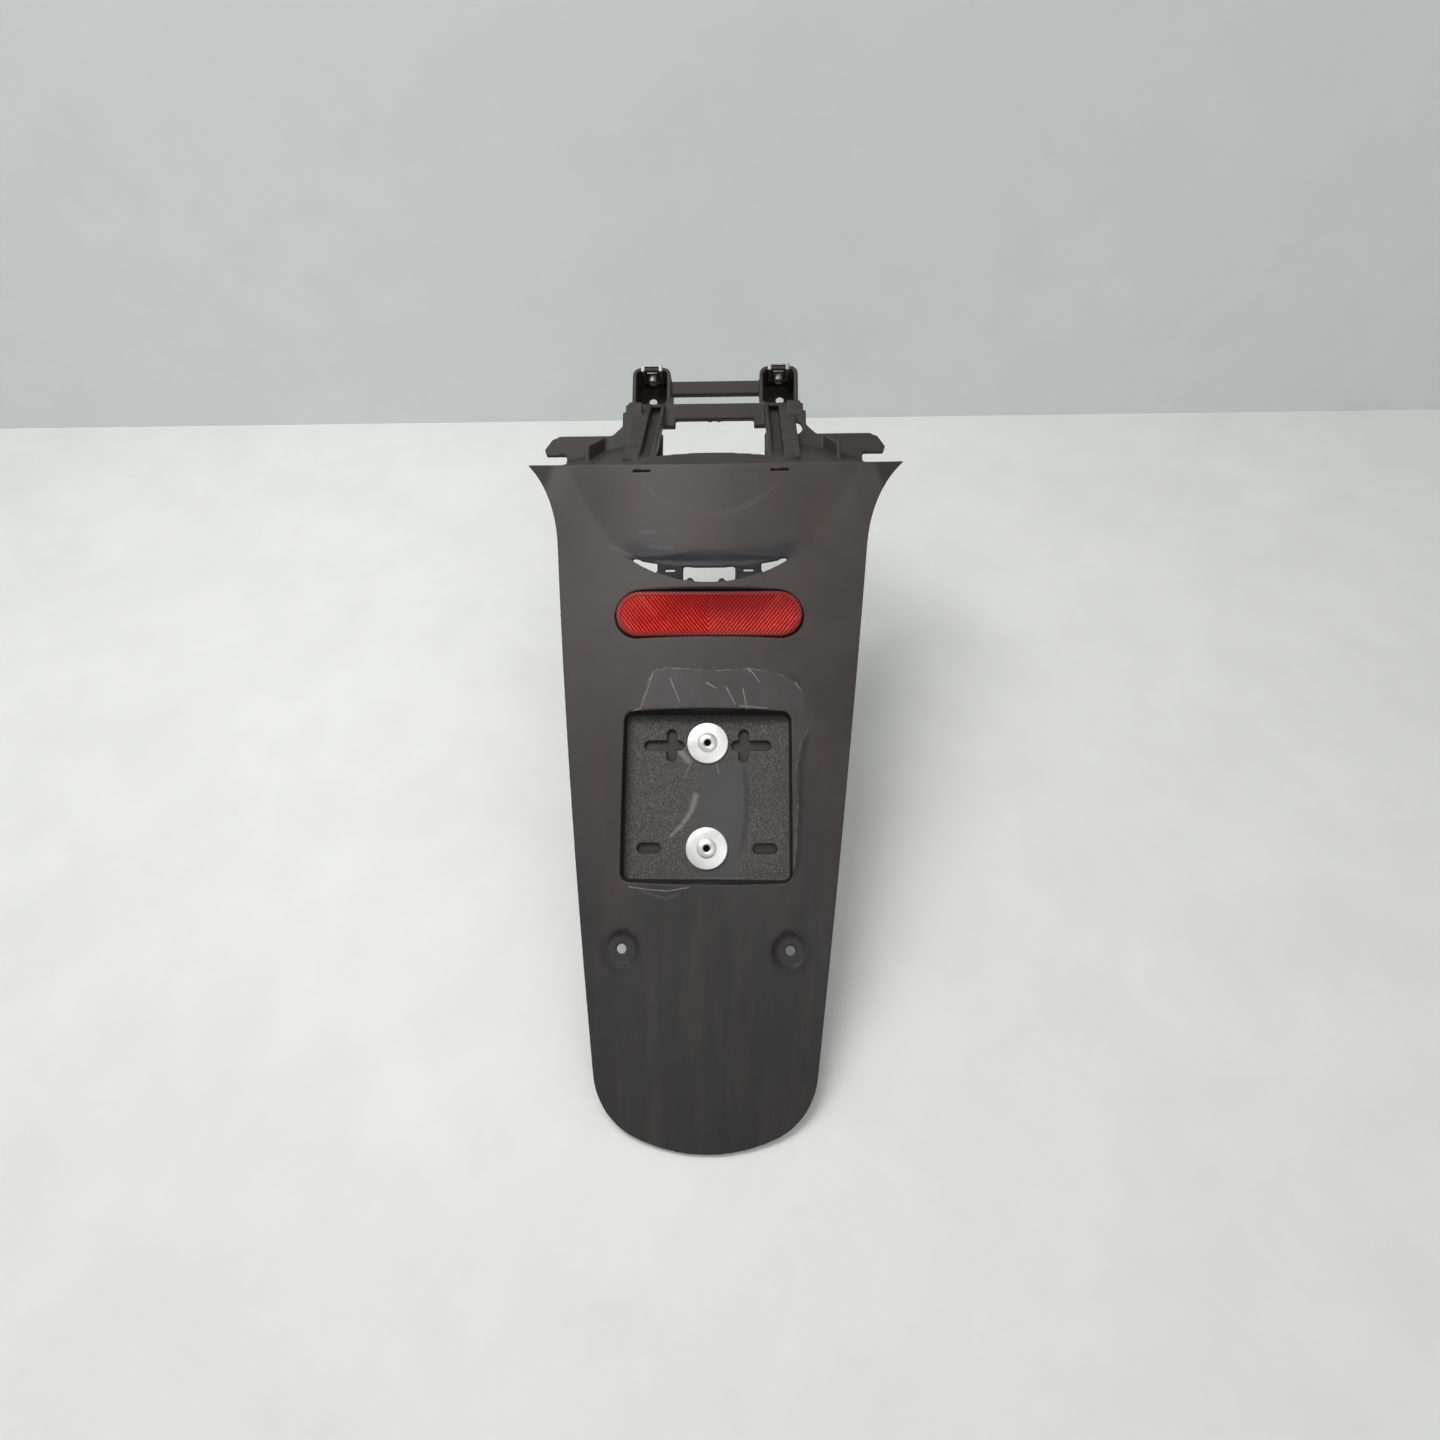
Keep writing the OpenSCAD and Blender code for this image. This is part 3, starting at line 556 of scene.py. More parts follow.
rivetSets = [makeRivetSet(level, rivets) for level in ("upper", "lower")]
backPlate = softEdgedCopy("backing_plate", "backPlate", edgeWidths["backPlate"], segments=3)
rideAs(backPlate, "backing_plastic", "backing_plate")
clipNuts = []
for side in ("left", "right"):
    clip = softEdgedCopy("clip_nut_" + side, "clipNut" + side.title(), edgeWidths["clipNut"])
    rideAs(clip, "spring_steel", "clip_nut_" + side)
    clipNuts.append(clip)
print("hardware made")


# small helpers for the materials
def addNode(tree, kind, **settings):
    node = tree.nodes.new(kind)
    for key, value in settings.items():
        setattr(node, key, value)
    return node


def feed(tree, socket, value):
    if isinstance(value, bpy.types.NodeSocket):
        tree.links.new(value, socket)
    else:
        socket.default_value = value


def mathNode(tree, operation, *values, clamp=False):
    node = addNode(tree, "ShaderNodeMath", operation=operation, use_clamp=clamp)
    for socket, value in zip(node.inputs, values):
        feed(tree, socket, value)
    return node.outputs[0]


def times(tree, first, *others):
    for other in others:
        first = mathNode(tree, "MULTIPLY", first, other)
    return first


def splitVector(tree, vector):
    node = addNode(tree, "ShaderNodeSeparateXYZ")
    tree.links.new(vector, node.inputs[0])
    return node.outputs


def vectorNode(tree, operation, *values):
    node = addNode(tree, "ShaderNodeVectorMath", operation=operation)
    slots = [node.inputs[0], node.inputs["Scale"]] if operation == "SCALE" else node.inputs
    for socket, value in zip(slots, values):
        feed(tree, socket, value)
    return node.outputs["Value"] if operation in ("DOT_PRODUCT", "LENGTH") else node.outputs[0]


def ramp(tree, value, fromLow, fromHigh, toLow=0.0, toHigh=1.0, kind="SMOOTHSTEP"):
    node = addNode(tree, "ShaderNodeMapRange", interpolation_type=kind)
    for socket, number in zip(node.inputs, (value, fromLow, fromHigh, toLow, toHigh)):
        feed(tree, socket, number)
    return node.outputs[0]


def mixColors(tree, factor, first, second, blend="MIX"):
    node = addNode(tree, "ShaderNodeMix", data_type="RGBA", blend_type=blend)
    feed(tree, node.inputs[0], factor)
    for socket, value in zip((node.inputs[6], node.inputs[7]), (first, second)):
        feed(tree, socket, (*value, 1.0) if isinstance(value, tuple) else value)
    return node.outputs[2]


def noise(tree, vector, scale, detail=3.0, rough=0.5):
    node = addNode(tree, "ShaderNodeTexNoise")
    feed(tree, node.inputs["Vector"], vector)
    node.inputs["Scale"].default_value = scale
    node.inputs["Detail"].default_value = detail
    node.inputs["Roughness"].default_value = rough
    return node.outputs[0]


def startGroup(name, inputs, outputs):
    group = bpy.data.node_groups.new(name, "ShaderNodeTree")
    for label, kind in inputs:
        group.interface.new_socket(name=label, in_out="INPUT", socket_type=kind)
    for label, kind in outputs:
        group.interface.new_socket(name=label, in_out="OUTPUT", socket_type=kind)
    return group, group.nodes.new("NodeGroupInput").outputs, group.nodes.new("NodeGroupOutput").inputs


def useGroup(tree, group, **values):
    node = addNode(tree, "ShaderNodeGroup", node_tree=group)
    for key, value in values.items():
        feed(tree, node.inputs[key], value)
    return node.outputs


def makeMarkGroup():
    # a straight mark between two points in X and Z, in mm, that narrows to its end
    group, given, out = startGroup(
        "scratchMark",
        [("Point", "NodeSocketVector"), ("Start", "NodeSocketVector"), ("End", "NodeSocketVector"),
         ("Width", "NodeSocketFloat"), ("Taper", "NodeSocketFloat"), ("Ragged", "NodeSocketFloat")],
        [("Mask", "NodeSocketFloat")])
    flat = vectorNode(group, "MULTIPLY", given["Point"], (1, 0, 1))
    fromStart = vectorNode(group, "SUBTRACT", flat, given["Start"])
    whole = vectorNode(group, "SUBTRACT", given["End"], given["Start"])
    share = mathNode(group, "DIVIDE", vectorNode(group, "DOT_PRODUCT", fromStart, whole),
                     vectorNode(group, "DOT_PRODUCT", whole, whole), clamp=True)
    nearest = vectorNode(group, "SCALE", whole, share)
    away = vectorNode(group, "LENGTH", vectorNode(group, "SUBTRACT", fromStart, nearest))
    grit = mathNode(group, "SUBTRACT", noise(group, given["Point"], 0.9, 4.0, 0.7), 0.5)
    away = mathNode(group, "ADD", away, times(group, grit, given["Ragged"]))
    reach = times(group, given["Width"], ramp(group, share, 0.0, 1.0, 1.0, given["Taper"], "LINEAR"))
    body = ramp(group, away, 0.0, reach, 1.0, 0.0)
    broken = ramp(group, noise(group, given["Point"], 1.7, 5.0, 0.7), 0.3, 0.62)
    group.links.new(times(group, body, broken), out["Mask"])
    return group


def makeGrainGroup():
    # fine moulded grain: a height for the bump and a speckle for the colour
    group, given, out = startGroup(
        "mouldedGrain",
        [("Point", "NodeSocketVector"), ("Size", "NodeSocketFloat")],
        [("Height", "NodeSocketFloat"), ("Speckle", "NodeSocketFloat")])
    scaled = vectorNode(group, "SCALE", given["Point"], mathNode(group, "DIVIDE", 1.0, given["Size"]))
    coarse = noise(group, scaled, 1.0, 2.0, 0.6)
    fine = noise(group, scaled, 2.7, 2.0, 0.6)
    height = mathNode(group, "ADD", times(group, coarse, 0.65), times(group, fine, 0.35))
    group.links.new(height, out["Height"])
    group.links.new(ramp(group, height, 0.46, 0.62), out["Speckle"])
    return group


def makeFilmGroup():
    # uneven grime and fading, from broad to fine
    group, given, out = startGroup(
        "weatherFilm",
        [("Point", "NodeSocketVector"), ("Stretch", "NodeSocketVector")],
        [("Broad", "NodeSocketFloat"), ("Streak", "NodeSocketFloat"), ("Fleck", "NodeSocketFloat")])
    group.links.new(ramp(group, noise(group, given["Point"], 0.016, 4.0, 0.6), 0.3, 0.72), out["Broad"])
    drawn = vectorNode(group, "MULTIPLY", given["Point"], given["Stretch"])
    group.links.new(ramp(group, noise(group, drawn, 1.0, 5.0, 0.6), 0.42, 0.72), out["Streak"])
    group.links.new(ramp(group, noise(group, given["Point"], 0.55, 6.0, 0.75), 0.6, 0.74), out["Fleck"])
    return group


markGroup = makeMarkGroup()
grainGroup = makeGrainGroup()
filmGroup = makeFilmGroup()


def startMaterial(name):
    mat = bpy.data.materials.new(name)
    mat.use_nodes = True
    tree = mat.node_tree
    coords = addNode(tree, "ShaderNodeTexCoord")
    point = vectorNode(tree, "SCALE", coords.outputs["Object"], 1000.0)
    return mat, tree, tree.nodes["Principled BSDF"], coords, point


def bumpInto(tree, bsdf, height, distance, strength=1.0):
    bump = addNode(tree, "ShaderNodeBump")
    bump.inputs["Strength"].default_value = strength
    bump.inputs["Distance"].default_value = distance
    feed(tree, bump.inputs["Height"], height)
    tree.links.new(bump.outputs[0], bsdf.inputs["Normal"])


def dress(piece, mat):
    piece.data.materials.clear()
    piece.data.materials.append(mat)


# colours of the fender's plastic: the run from tip to top is partly painted light from above, and tab, lip,
# shade, trayWall and bracket are colours of painted shade
fenderColors = {
    "tip": (0.031, 0.031, 0.033),
    "low": (0.041, 0.040, 0.041),
    "middle": (0.056, 0.050, 0.049),
    "top": (0.076, 0.067, 0.060),
    "inside": (0.040, 0.038, 0.037),
    "rust": (0.085, 0.058, 0.048),
    "smear": (0.084, 0.083, 0.088),
    "smearLine": (0.19, 0.18, 0.175),
    "shade": (0.026, 0.025, 0.027),
    "tab": (0.006, 0.006, 0.007),
    "lip": (0.030, 0.032, 0.040),
    "trayWall": (0.010, 0.010, 0.010),
    "bluish": (0.13, 0.14, 0.165),
    "bracket": (0.030, 0.026, 0.023),
    "worn": (0.085, 0.062, 0.048),
    "slotTop": (-16.4, 157.5),    # height of the arc's middle and its radius
    "slotLow": (-102.4, 81.5),
    "boss": (49.4, -407.4),
    "scratch": (0.36, 0.34, 0.32),
    "trayDark": (0.068, 0.064, 0.062),
    "traySpeck": (0.21, 0.20, 0.19),
    "trayBand": (0.082, 0.080, 0.082),
    "dust": (0.15, 0.14, 0.125),
    "scratches": [   # start, end, width in mm at the start, share of it at the end
        ((-33.3, -241.7), (-40.0, -263.5), 0.55, 0.8),
        ((-22.8, -247.0), (-16.8, -261.6), 0.75, 0.5),
        ((11.3, -252.2), (17.1, -263.5), 0.7, 0.6),
        ((21.4, -253.1), (24.0, -266.4), 0.65, 0.7),
        ((24.7, -241.0), (27.6, -243.4), 0.9, 0.6),
        ((27.6, -243.4), (31.5, -248.9), 0.7, 0.4),
        ((53.5, -248.5), (58.3, -254.8), 0.6, 0.5),
        ((-0.4, -249.8), (5.5, -253.2), 0.9, 0.5),
        ((20.0, -264.0), (36.3, -265.1), 0.7, 0.6),
        ((-46.1, -266.8), (-40.6, -265.0), 0.7, 0.9),
        ((-75.0, -228.0), (-58.0, -246.0), 0.35, 0.6),
        ((62.0, -385.0), (48.0, -412.0), 0.35, 0.5),
        ((-21.4, -513.0), (15.4, -511.6), 0.7, 0.8),
        ((-45.2, -371.4), (-33.7, -372.9), 0.5, 0.9),
        ((-33.7, -372.9), (-22.3, -373.7), 0.5, 0.9),
        ((-22.3, -373.7), (-9.3, -371.4), 0.5, 0.9),
        ((-67.5, -465.0), (-66.4, -466.4), 0.9, 0.7),
        ((75.1, -400.1), (74.3, -401.8), 0.9, 0.7),
    ],
    "patches": [     # pale, bluish spots on the hood and under the tray
        ((-44.1, -149.4), (-34.5, -149.5), 3.0, 0.8),
        ((-23.5, -161.6), (-37.5, -159.5), 2.6, 0.8),
        ((-46.9, -166.1), (-64.4, -156.0), 2.2, 0.6),
        ((-36.5, -373.9), (-23.4, -378.2), 2.2, 0.7),
        ((-23.4, -378.2), (-14.7, -375.0), 1.8, 0.5),
    ],
    "trayMarks": [
        ((-9.2, -296.7), (-14.4, -306.4), 0.55, 0.6),
        ((4.9, -294.7), (6.9, -304.0), 0.6, 0.6),
        ((32.6, -275.0), (35.9, -279.4), 0.5, 0.8),
        ((-32.0, -276.1), (-31.4, -280.0), 0.5, 0.8),
        ((-17.5, -289.5), (-11.5, -296.5), 3.6, 0.8),
        ((-6.9, -317.5), (-9.2, -326.0), 3.0, 0.9),
        ((-9.2, -326.0), (-14.6, -334.6), 2.6, 0.8),
        ((-14.6, -334.6), (-21.8, -341.8), 2.4, 0.5),
    ],
}


def joinMarks(tree, point, marks, ragged):
    total = None
    for (startX, startZ), (endX, endZ), width, taper in marks:
        mask = useGroup(tree, markGroup, Point=point, Start=(startX, 0, startZ), End=(endX, 0, endZ),
                        Width=width, Taper=taper, Ragged=ragged)["Mask"]
        total = mask if total is None else mathNode(tree, "MAXIMUM", total, mask)
    return total


def between(tree, value, low, high, soft):
    rise = ramp(tree, value, low - soft, low + soft)
    fall = ramp(tree, value, high - soft, high + soft, 1.0, 0.0)
    return times(tree, rise, fall)


def reachFrom(tree, x, z, centerX, centerZ):
    across = mathNode(tree, "SUBTRACT", x, centerX)
    high = mathNode(tree, "SUBTRACT", z, centerZ)
    squares = mathNode(tree, "ADD", times(tree, across, across), times(tree, high, high))
    return mathNode(tree, "SQRT", squares)


def aboveTopEdge(tree, y, z, normalZ):
    # the bracket, the ledge's top and the wall behind it, but not the hood or the flares
    frontY, topZ, tilt = fender["crown"]
    lean = math.radians(tilt)
    upward = times(tree, mathNode(tree, "SUBTRACT", z, topZ), math.cos(lean))
    backward = times(tree, mathNode(tree, "SUBTRACT", y, frontY), math.sin(lean))
    clear = ramp(tree, mathNode(tree, "SUBTRACT", upward, backward), 0.0, 1.5)
    ledgeTop = times(tree, ramp(tree, normalZ, 0.4, 0.7), ramp(tree, z, topZ - 4.0, topZ))
    behind = times(tree, ramp(tree, y, -26.0, -22.0), ramp(tree, z, topZ - 6.0, topZ))
    return mathNode(tree, "MAXIMUM", mathNode(tree, "MAXIMUM", clear, ledgeTop), behind)


def addPaintedShadeAndWear(tree, facts, color, point, normalY, normalZ, x, y, z):
    # painted shade: the slot's tabs, the rolled lip, rings round the bosses, the tray's walls and corners
    # and the bracket are darker where shade falls; the tray's corners also carry some dirt, and the bracket
    # has worn spots
    front = ramp(tree, normalY, -0.15, -0.45)
    steep = ramp(tree, normalY, -0.85, -0.55)
    wide = mathNode(tree, "ABSOLUTE", x)
    topZ, topR = facts["slotTop"]
    lowZ, lowR = facts["slotLow"]
    slotTop = reachFrom(tree, x, z, 0.0, topZ)
    slotLow = reachFrom(tree, x, z, 0.0, lowZ)
    overTop = ramp(tree, slotTop, topR - 0.6, topR + 0.6)
    inSlot = times(tree, overTop, ramp(tree, slotLow, lowR + 0.6, lowR - 0.6), front)
    # painted shade: the tabs seen through the slot, under the hood, are made near black
    color = mixColors(tree, times(tree, inSlot, 0.9), color, facts["tab"])
    # painted shade on the rolled lip over the slot, which faces down
    band = times(tree, between(tree, slotTop, topR - 10.0, topR, 4.0), ramp(tree, wide, 60.0, 48.0))
    band = times(tree, band, front, ramp(tree, z, -146.0, -152.0))
    color = mixColors(tree, times(tree, band, 0.7), color, facts["lip"])
    # painted shade in a ring round each boss
    boss = reachFrom(tree, wide, z, *facts["boss"])
    ring = times(tree, between(tree, boss, 8.0, 13.0, 2.2), front)
    color = mixColors(tree, times(tree, ring, 0.5), color, facts["shade"])
    # painted shade on the tray's steep walls
    tray = times(tree, between(tree, x, -53.2, 53.2, 0.4), between(tree, z, -370.8, -264.6, 0.4))
    color = mixColors(tree, times(tree, tray, steep, 0.9), color, facts["trayWall"])
    # the tray floor's top and left edges: partly dirt, partly painted shade under the walls
    corner = mathNode(tree, "MAXIMUM", ramp(tree, z, -275.0, -267.5), ramp(tree, x, -43.5, -50.0))
    corner = times(tree, corner, tray, ramp(tree, y, -59.0, -57.5))
    color = mixColors(tree, times(tree, corner, 0.6), color, facts["trayWall"])
    patches = times(tree, joinMarks(tree, point, facts["patches"], 2.4), front)
    color = mixColors(tree, times(tree, patches, 0.4), color, facts["bluish"])
    # the bracket above the top edge: partly painted shade, partly its own darker plastic
    high = aboveTopEdge(tree, y, z, normalZ)
    color = mixColors(tree, times(tree, high, 0.85), color, facts["bracket"])
    spots = ramp(tree, noise(tree, point, 0.11, 5.0, 0.65), 0.46, 0.66)
    worn = times(tree, between(tree, wide, 31.0, 60.0, 4.0), spots, high)
    return mixColors(tree, times(tree, worn, 0.5), color, facts["worn"])


def makeFenderPlastic(facts):
    mat, tree, bsdf, coords, point = startMaterial("shadedWeatheredPlastic")
    x, y, z = splitVector(tree, point)
    _, normalY, normalZ = splitVector(tree, coords.outputs["Normal"])
    front = ramp(tree, normalY, -0.15, -0.45)
    film = useGroup(tree, filmGroup, Point=point, Stretch=(0.09, 0.05, 0.012))

    # the colour runs from darker at the tip to lighter at the top: partly the plastic's own tone, partly
    # painted light from above
    fade = addNode(tree, "ShaderNodeValToRGB")
    feed(tree, fade.inputs[0], ramp(tree, z, -522.0, 0.0, 0.0, 1.0, "LINEAR"))
    stops = fade.color_ramp.elements
    stops[0].position, stops[0].color = 0.0, (*facts["tip"], 1)
    stops[1].position, stops[1].color = 0.86, (*facts["top"], 1)
    for position, key in ((0.2, "low"), (0.46, "middle")):
        stop = stops.new(position)
        stop.color = (*facts[key], 1)
    color = mixColors(tree, front, facts["inside"], fade.outputs[0])
    color = mixColors(tree, times(tree, film["Streak"], 0.35), color, facts["rust"])
    shade = ramp(tree, film["Broad"], 0.0, 1.0, 0.86, 1.12, "LINEAR")
    color = mixColors(tree, 1.0, color, shade, "MULTIPLY")

    smearEdge = addNode(tree, "ShaderNodeAttribute", attribute_name="smearEdge").outputs["Fac"]
    wander = times(tree, mathNode(tree, "SUBTRACT", noise(tree, point, 0.25, 5.0, 0.6), 0.5), 2.2)
    smearEdge = mathNode(tree, "ADD", smearEdge, wander)
    outside = ramp(tree, y, -59.5, -60.5)      # the skin, not the tray's floor
    smear = times(tree, ramp(tree, smearEdge, 0.35, -0.35), front, outside)
    smearTint = ramp(tree, noise(tree, point, 0.08, 4.0), 0.3, 0.7, 0.12, 0.5)
    color = mixColors(tree, times(tree, smear, smearTint), color, facts["smear"])
    # painted shadow along the right edge of the raised patch
    smearShade = times(tree, between(tree, smearEdge, 0.6, 3.6, 1.2), ramp(tree, x, 42.0, 56.0))
    smearShade = times(tree, smearShade, outside, front)
    color = mixColors(tree, times(tree, smearShade, 0.6), color, facts["shade"])
    smearLine = ramp(tree, mathNode(tree, "ABSOLUTE", smearEdge), 0.1, 0.6, 1.0, 0.0)
    smearLine = times(tree, smearLine, front, outside)
    smearLine = times(tree, smearLine, ramp(tree, noise(tree, point, 0.14, 3.0), 0.42, 0.6))
    color = mixColors(tree, times(tree, smearLine, 0.55), color, facts["smearLine"])

    inTray = times(tree, between(tree, x, -51.0, 51.0, 1.0), between(tree, z, -368.5, -266.8, 1.0))
    inTray = times(tree, inTray, between(tree, y, -57.6, -55.6, 0.4), front)
    grain = useGroup(tree, grainGroup, Point=point, Size=0.78)
    drift = times(tree, mathNode(tree, "SUBTRACT", noise(tree, point, 0.07, 4.0), 0.5), 16.0)
    leftRub = ramp(tree, mathNode(tree, "ADD", x, drift), -20.0, 8.0)
    bulge = mathNode(tree, "POWER", mathNode(tree, "ABSOLUTE", mathNode(tree, "ADD", z, 318.0)), 2.0)
    # the rubbed band's right edge bows outwards
    bandX = mathNode(tree, "ADD", x, times(tree, bulge, 0.0028))
    bandX = mathNode(tree, "ADD", bandX, times(tree, drift, 0.12))
    rightRub = ramp(tree, bandX, 26.0, 23.6)
    underTop = ramp(tree, mathNode(tree, "ADD", z, drift), -289.0, -306.0)
    rub = times(tree, leftRub, rightRub, underTop)
    coarse = times(tree, grain["Speckle"], ramp(tree, rub, 0.0, 1.0, 0.62, 0.08, "LINEAR"))
    trayColor = mixColors(tree, coarse, facts["trayDark"], facts["traySpeck"])
    trayColor = mixColors(tree, times(tree, rub, 0.75), trayColor, facts["trayBand"])
    bandEdge = times(tree, between(tree, bandX, 22.4, 25.2, 1.3), between(tree, z, -352.0, -299.0, 8.0))
    trayColor = mixColors(tree, times(tree, bandEdge, 0.5), trayColor, facts["shade"])
    color = mixColors(tree, inTray, color, trayColor)
    trayMarks = times(tree, joinMarks(tree, point, facts["trayMarks"], 1.6), inTray)
    color = mixColors(tree, times(tree, trayMarks, 0.75), color, facts["scratch"])

    onSkin = times(tree, front, outside)
    scratches = times(tree, joinMarks(tree, point, facts["scratches"], 0.5), onSkin)
    color = mixColors(tree, times(tree, scratches, 0.85), color, facts["scratch"])

    nearTip = times(tree, between(tree, x, 4.0, 48.0, 9.0), between(tree, z, -516.0, -486.0, 7.0))
    dust = times(tree, nearTip, film["Fleck"], onSkin)
    flecks = mathNode(tree, "MAXIMUM", dust, times(tree, film["Fleck"], 0.12))
    color = mixColors(tree, times(tree, flecks, 0.6), color, facts["dust"])
    color = addPaintedShadeAndWear(tree, facts, color, point, normalY, normalZ, x, y, z)
    tree.links.new(color, bsdf.inputs["Base Color"])

    rough = ramp(tree, film["Broad"], 0.0, 1.0, 0.46, 0.58, "LINEAR")
    rough = mathNode(tree, "SUBTRACT", rough, times(tree, smear, 0.08))
    rough = mathNode(tree, "ADD", rough, times(tree, inTray, 0.06))
    rough = mathNode(tree, "SUBTRACT", rough, times(tree, rub, inTray, 0.14))
    rough = mathNode(tree, "ADD", rough, times(tree, scratches, 0.2), clamp=True)
    tree.links.new(rough, bsdf.inputs["Roughness"])
    bsdf.inputs["Specular IOR Level"].default_value = 0.22

    skinGrain = useGroup(tree, grainGroup, Point=point, Size=0.5)
    coarseness = ramp(tree, rub, 0.0, 1.0, 0.9, 0.12, "LINEAR")
    trayRelief = times(tree, grain["Height"], inTray, coarseness)
    relief = mathNode(tree, "ADD", times(tree, skinGrain["Height"], 0.09), trayRelief)
    relief = mathNode(tree, "ADD", relief, times(tree, noise(tree, point, 0.03, 3.0), 0.5))
    relief = mathNode(tree, "ADD", relief, times(tree, smear, 0.16))
    relief = mathNode(tree, "SUBTRACT", relief, times(tree, scratches, 0.08))
    bumpInto(tree, bsdf, relief, 0.001)
    return mat


dress(fenderShell, makeFenderPlastic(fenderColors))
print("fender dressed")

lensFacts = {
    "deep": (0.12, 0.003, 0.004),
    "bright": (0.92, 0.018, 0.009),
    # colour of the painted glints
    "spark": (1.0, 0.11, 0.05),
    "rim": (0.16, 0.022, 0.022),
    "rimFrom": 12.0,       # mm from the lens's middle line
}


def makeLensRed(facts):
    mat, tree, bsdf, coords, point = startMaterial("prismRed")
    x, _, z = splitVector(tree, point)
    wide = mathNode(tree, "ABSOLUTE", x)
    level = mathNode(tree, "SUBTRACT", z, reflector["face"][2])
    slant, half = math.radians(reflector["slant"]), reflector["pitch"] / 2
    rise = times(tree, level, math.cos(slant))
    aside = times(tree, wide, math.sin(slant))
    height = mathNode(tree, "PINGPONG", mathNode(tree, "SUBTRACT", rise, aside), half)
    crossing = mathNode(tree, "PINGPONG", mathNode(tree, "ADD", rise, aside), half)
    facet = ramp(tree, height, half * 0.2, half * 0.85)
    facet = times(tree, facet, ramp(tree, crossing, half * 0.1, half * 0.6, 0.55, 1.0))
    # painted light on the prisms: brighter lower down and towards the left, darker in the upper middle, with
    # painted glints on the facets
    drift = times(tree, mathNode(tree, "SUBTRACT", noise(tree, point, 0.05, 3.0), 0.5), 16.0)
    lit = ramp(tree, mathNode(tree, "ADD", z, drift), -196.0, -214.0, 0.15, 1.0)
    dip = times(tree, between(tree, x, -6.0, 30.0, 16.0), ramp(tree, z, -212.0, -196.0))
    lit = times(tree, lit, ramp(tree, dip, 0.0, 1.0, 1.0, 0.2, "LINEAR"))
    lit = mathNode(tree, "MAXIMUM", lit, ramp(tree, x, -12.0, -38.0, 0.0, 0.8))
    cells = noise(tree, point, 0.55, 2.0, 0.8)
    sparkle = times(tree, ramp(tree, cells, 0.35, 0.72), facet)
    glow = times(tree, facet, ramp(tree, lit, 0.0, 1.0, 0.35, 0.95, "LINEAR"))
    color = mixColors(tree, glow, facts["deep"], facts["bright"])
    color = mixColors(tree, times(tree, sparkle, lit, 0.55), color, facts["spark"])
    straight = (reflector["length"] - reflector["height"]) / 2
    past = mathNode(tree, "MAXIMUM", mathNode(tree, "SUBTRACT", wide, straight), 0.0)
    fromMiddle = reachFrom(tree, past, level, 0.0, 0.0)
    rim = ramp(tree, fromMiddle, facts["rimFrom"] - 0.3, facts["rimFrom"] + 0.3)
    color = mixColors(tree, times(tree, rim, 0.7), color, facts["rim"])
    tree.links.new(color, bsdf.inputs["Base Color"])
    tree.links.new(ramp(tree, facet, 0.0, 1.0, 0.5, 0.22, "LINEAR"), bsdf.inputs["Roughness"])
    bsdf.inputs["Specular IOR Level"].default_value = 0.12
    bsdf.inputs["Coat Weight"].default_value = 0.08
    bsdf.inputs["Coat Roughness"].default_value = 0.2
    bumpInto(tree, bsdf, height, 0.0002)
    return mat


dress(prismLens, makeLensRed(lensFacts))

metals = {
    # colour, dull colour, roughness low and high, metallic
    "satinAluminium": ((0.93, 0.93, 0.92), (0.70, 0.69, 0.65), 0.30, 0.46, 0.75),
    "rivetAluminium": ((0.90, 0.90, 0.89), (0.60, 0.59, 0.56), 0.28, 0.44, 0.85),
    "zincPlate": ((0.62, 0.62, 0.60), (0.34, 0.33, 0.31), 0.30, 0.50, 1.0),
    "springSteel": ((0.34, 0.33, 0.30), (0.12, 0.11, 0.095), 0.40, 0.60, 1.0),
    # the mandrels sit deep in the rivets' bores; their steel is painted near black as painted shade
    "shadedMandrelSteel": ((0.07, 0.07, 0.07), (0.03, 0.03, 0.03), 0.45, 0.65, 1.0),
}
rivetBore = 1.9        # mm, inside which a rivet's bore is painted dark: painted shade
rivetBoreColor = (0.012, 0.012, 0.012)


def shadeBores(tree, point, color):
    x, _, z = splitVector(tree, point)
    upper, lower = (reachFrom(tree, x, z, 0.0, rivets[level]) for level in ("upper", "lower"))
    inBore = ramp(tree, mathNode(tree, "MINIMUM", upper, lower), rivetBore + 0.3, rivetBore)
    return mixColors(tree, inBore, color, rivetBoreColor)


def makeMetal(name, facts):
    bright, dull, smooth, rough, metallic = facts
    mat, tree, bsdf, coords, point = startMaterial(name)
    film = useGroup(tree, filmGroup, Point=vectorNode(tree, "SCALE", point, 4.0), Stretch=(0.9, 0.9, 0.06))
    grain = useGroup(tree, grainGroup, Point=point, Size=0.35)
    color = mixColors(tree, times(tree, film["Streak"], 0.45), bright, dull)
    color = mixColors(tree, times(tree, film["Fleck"], 0.5), color, dull)
    if name == "rivetAluminium":
        color = shadeBores(tree, point, color)
    tree.links.new(color, bsdf.inputs["Base Color"])
    tree.links.new(ramp(tree, film["Broad"], 0.0, 1.0, smooth, rough, "LINEAR"), bsdf.inputs["Roughness"])
    bsdf.inputs["Metallic"].default_value = metallic
    bumpInto(tree, bsdf, grain["Height"], 0.00003)
    return mat


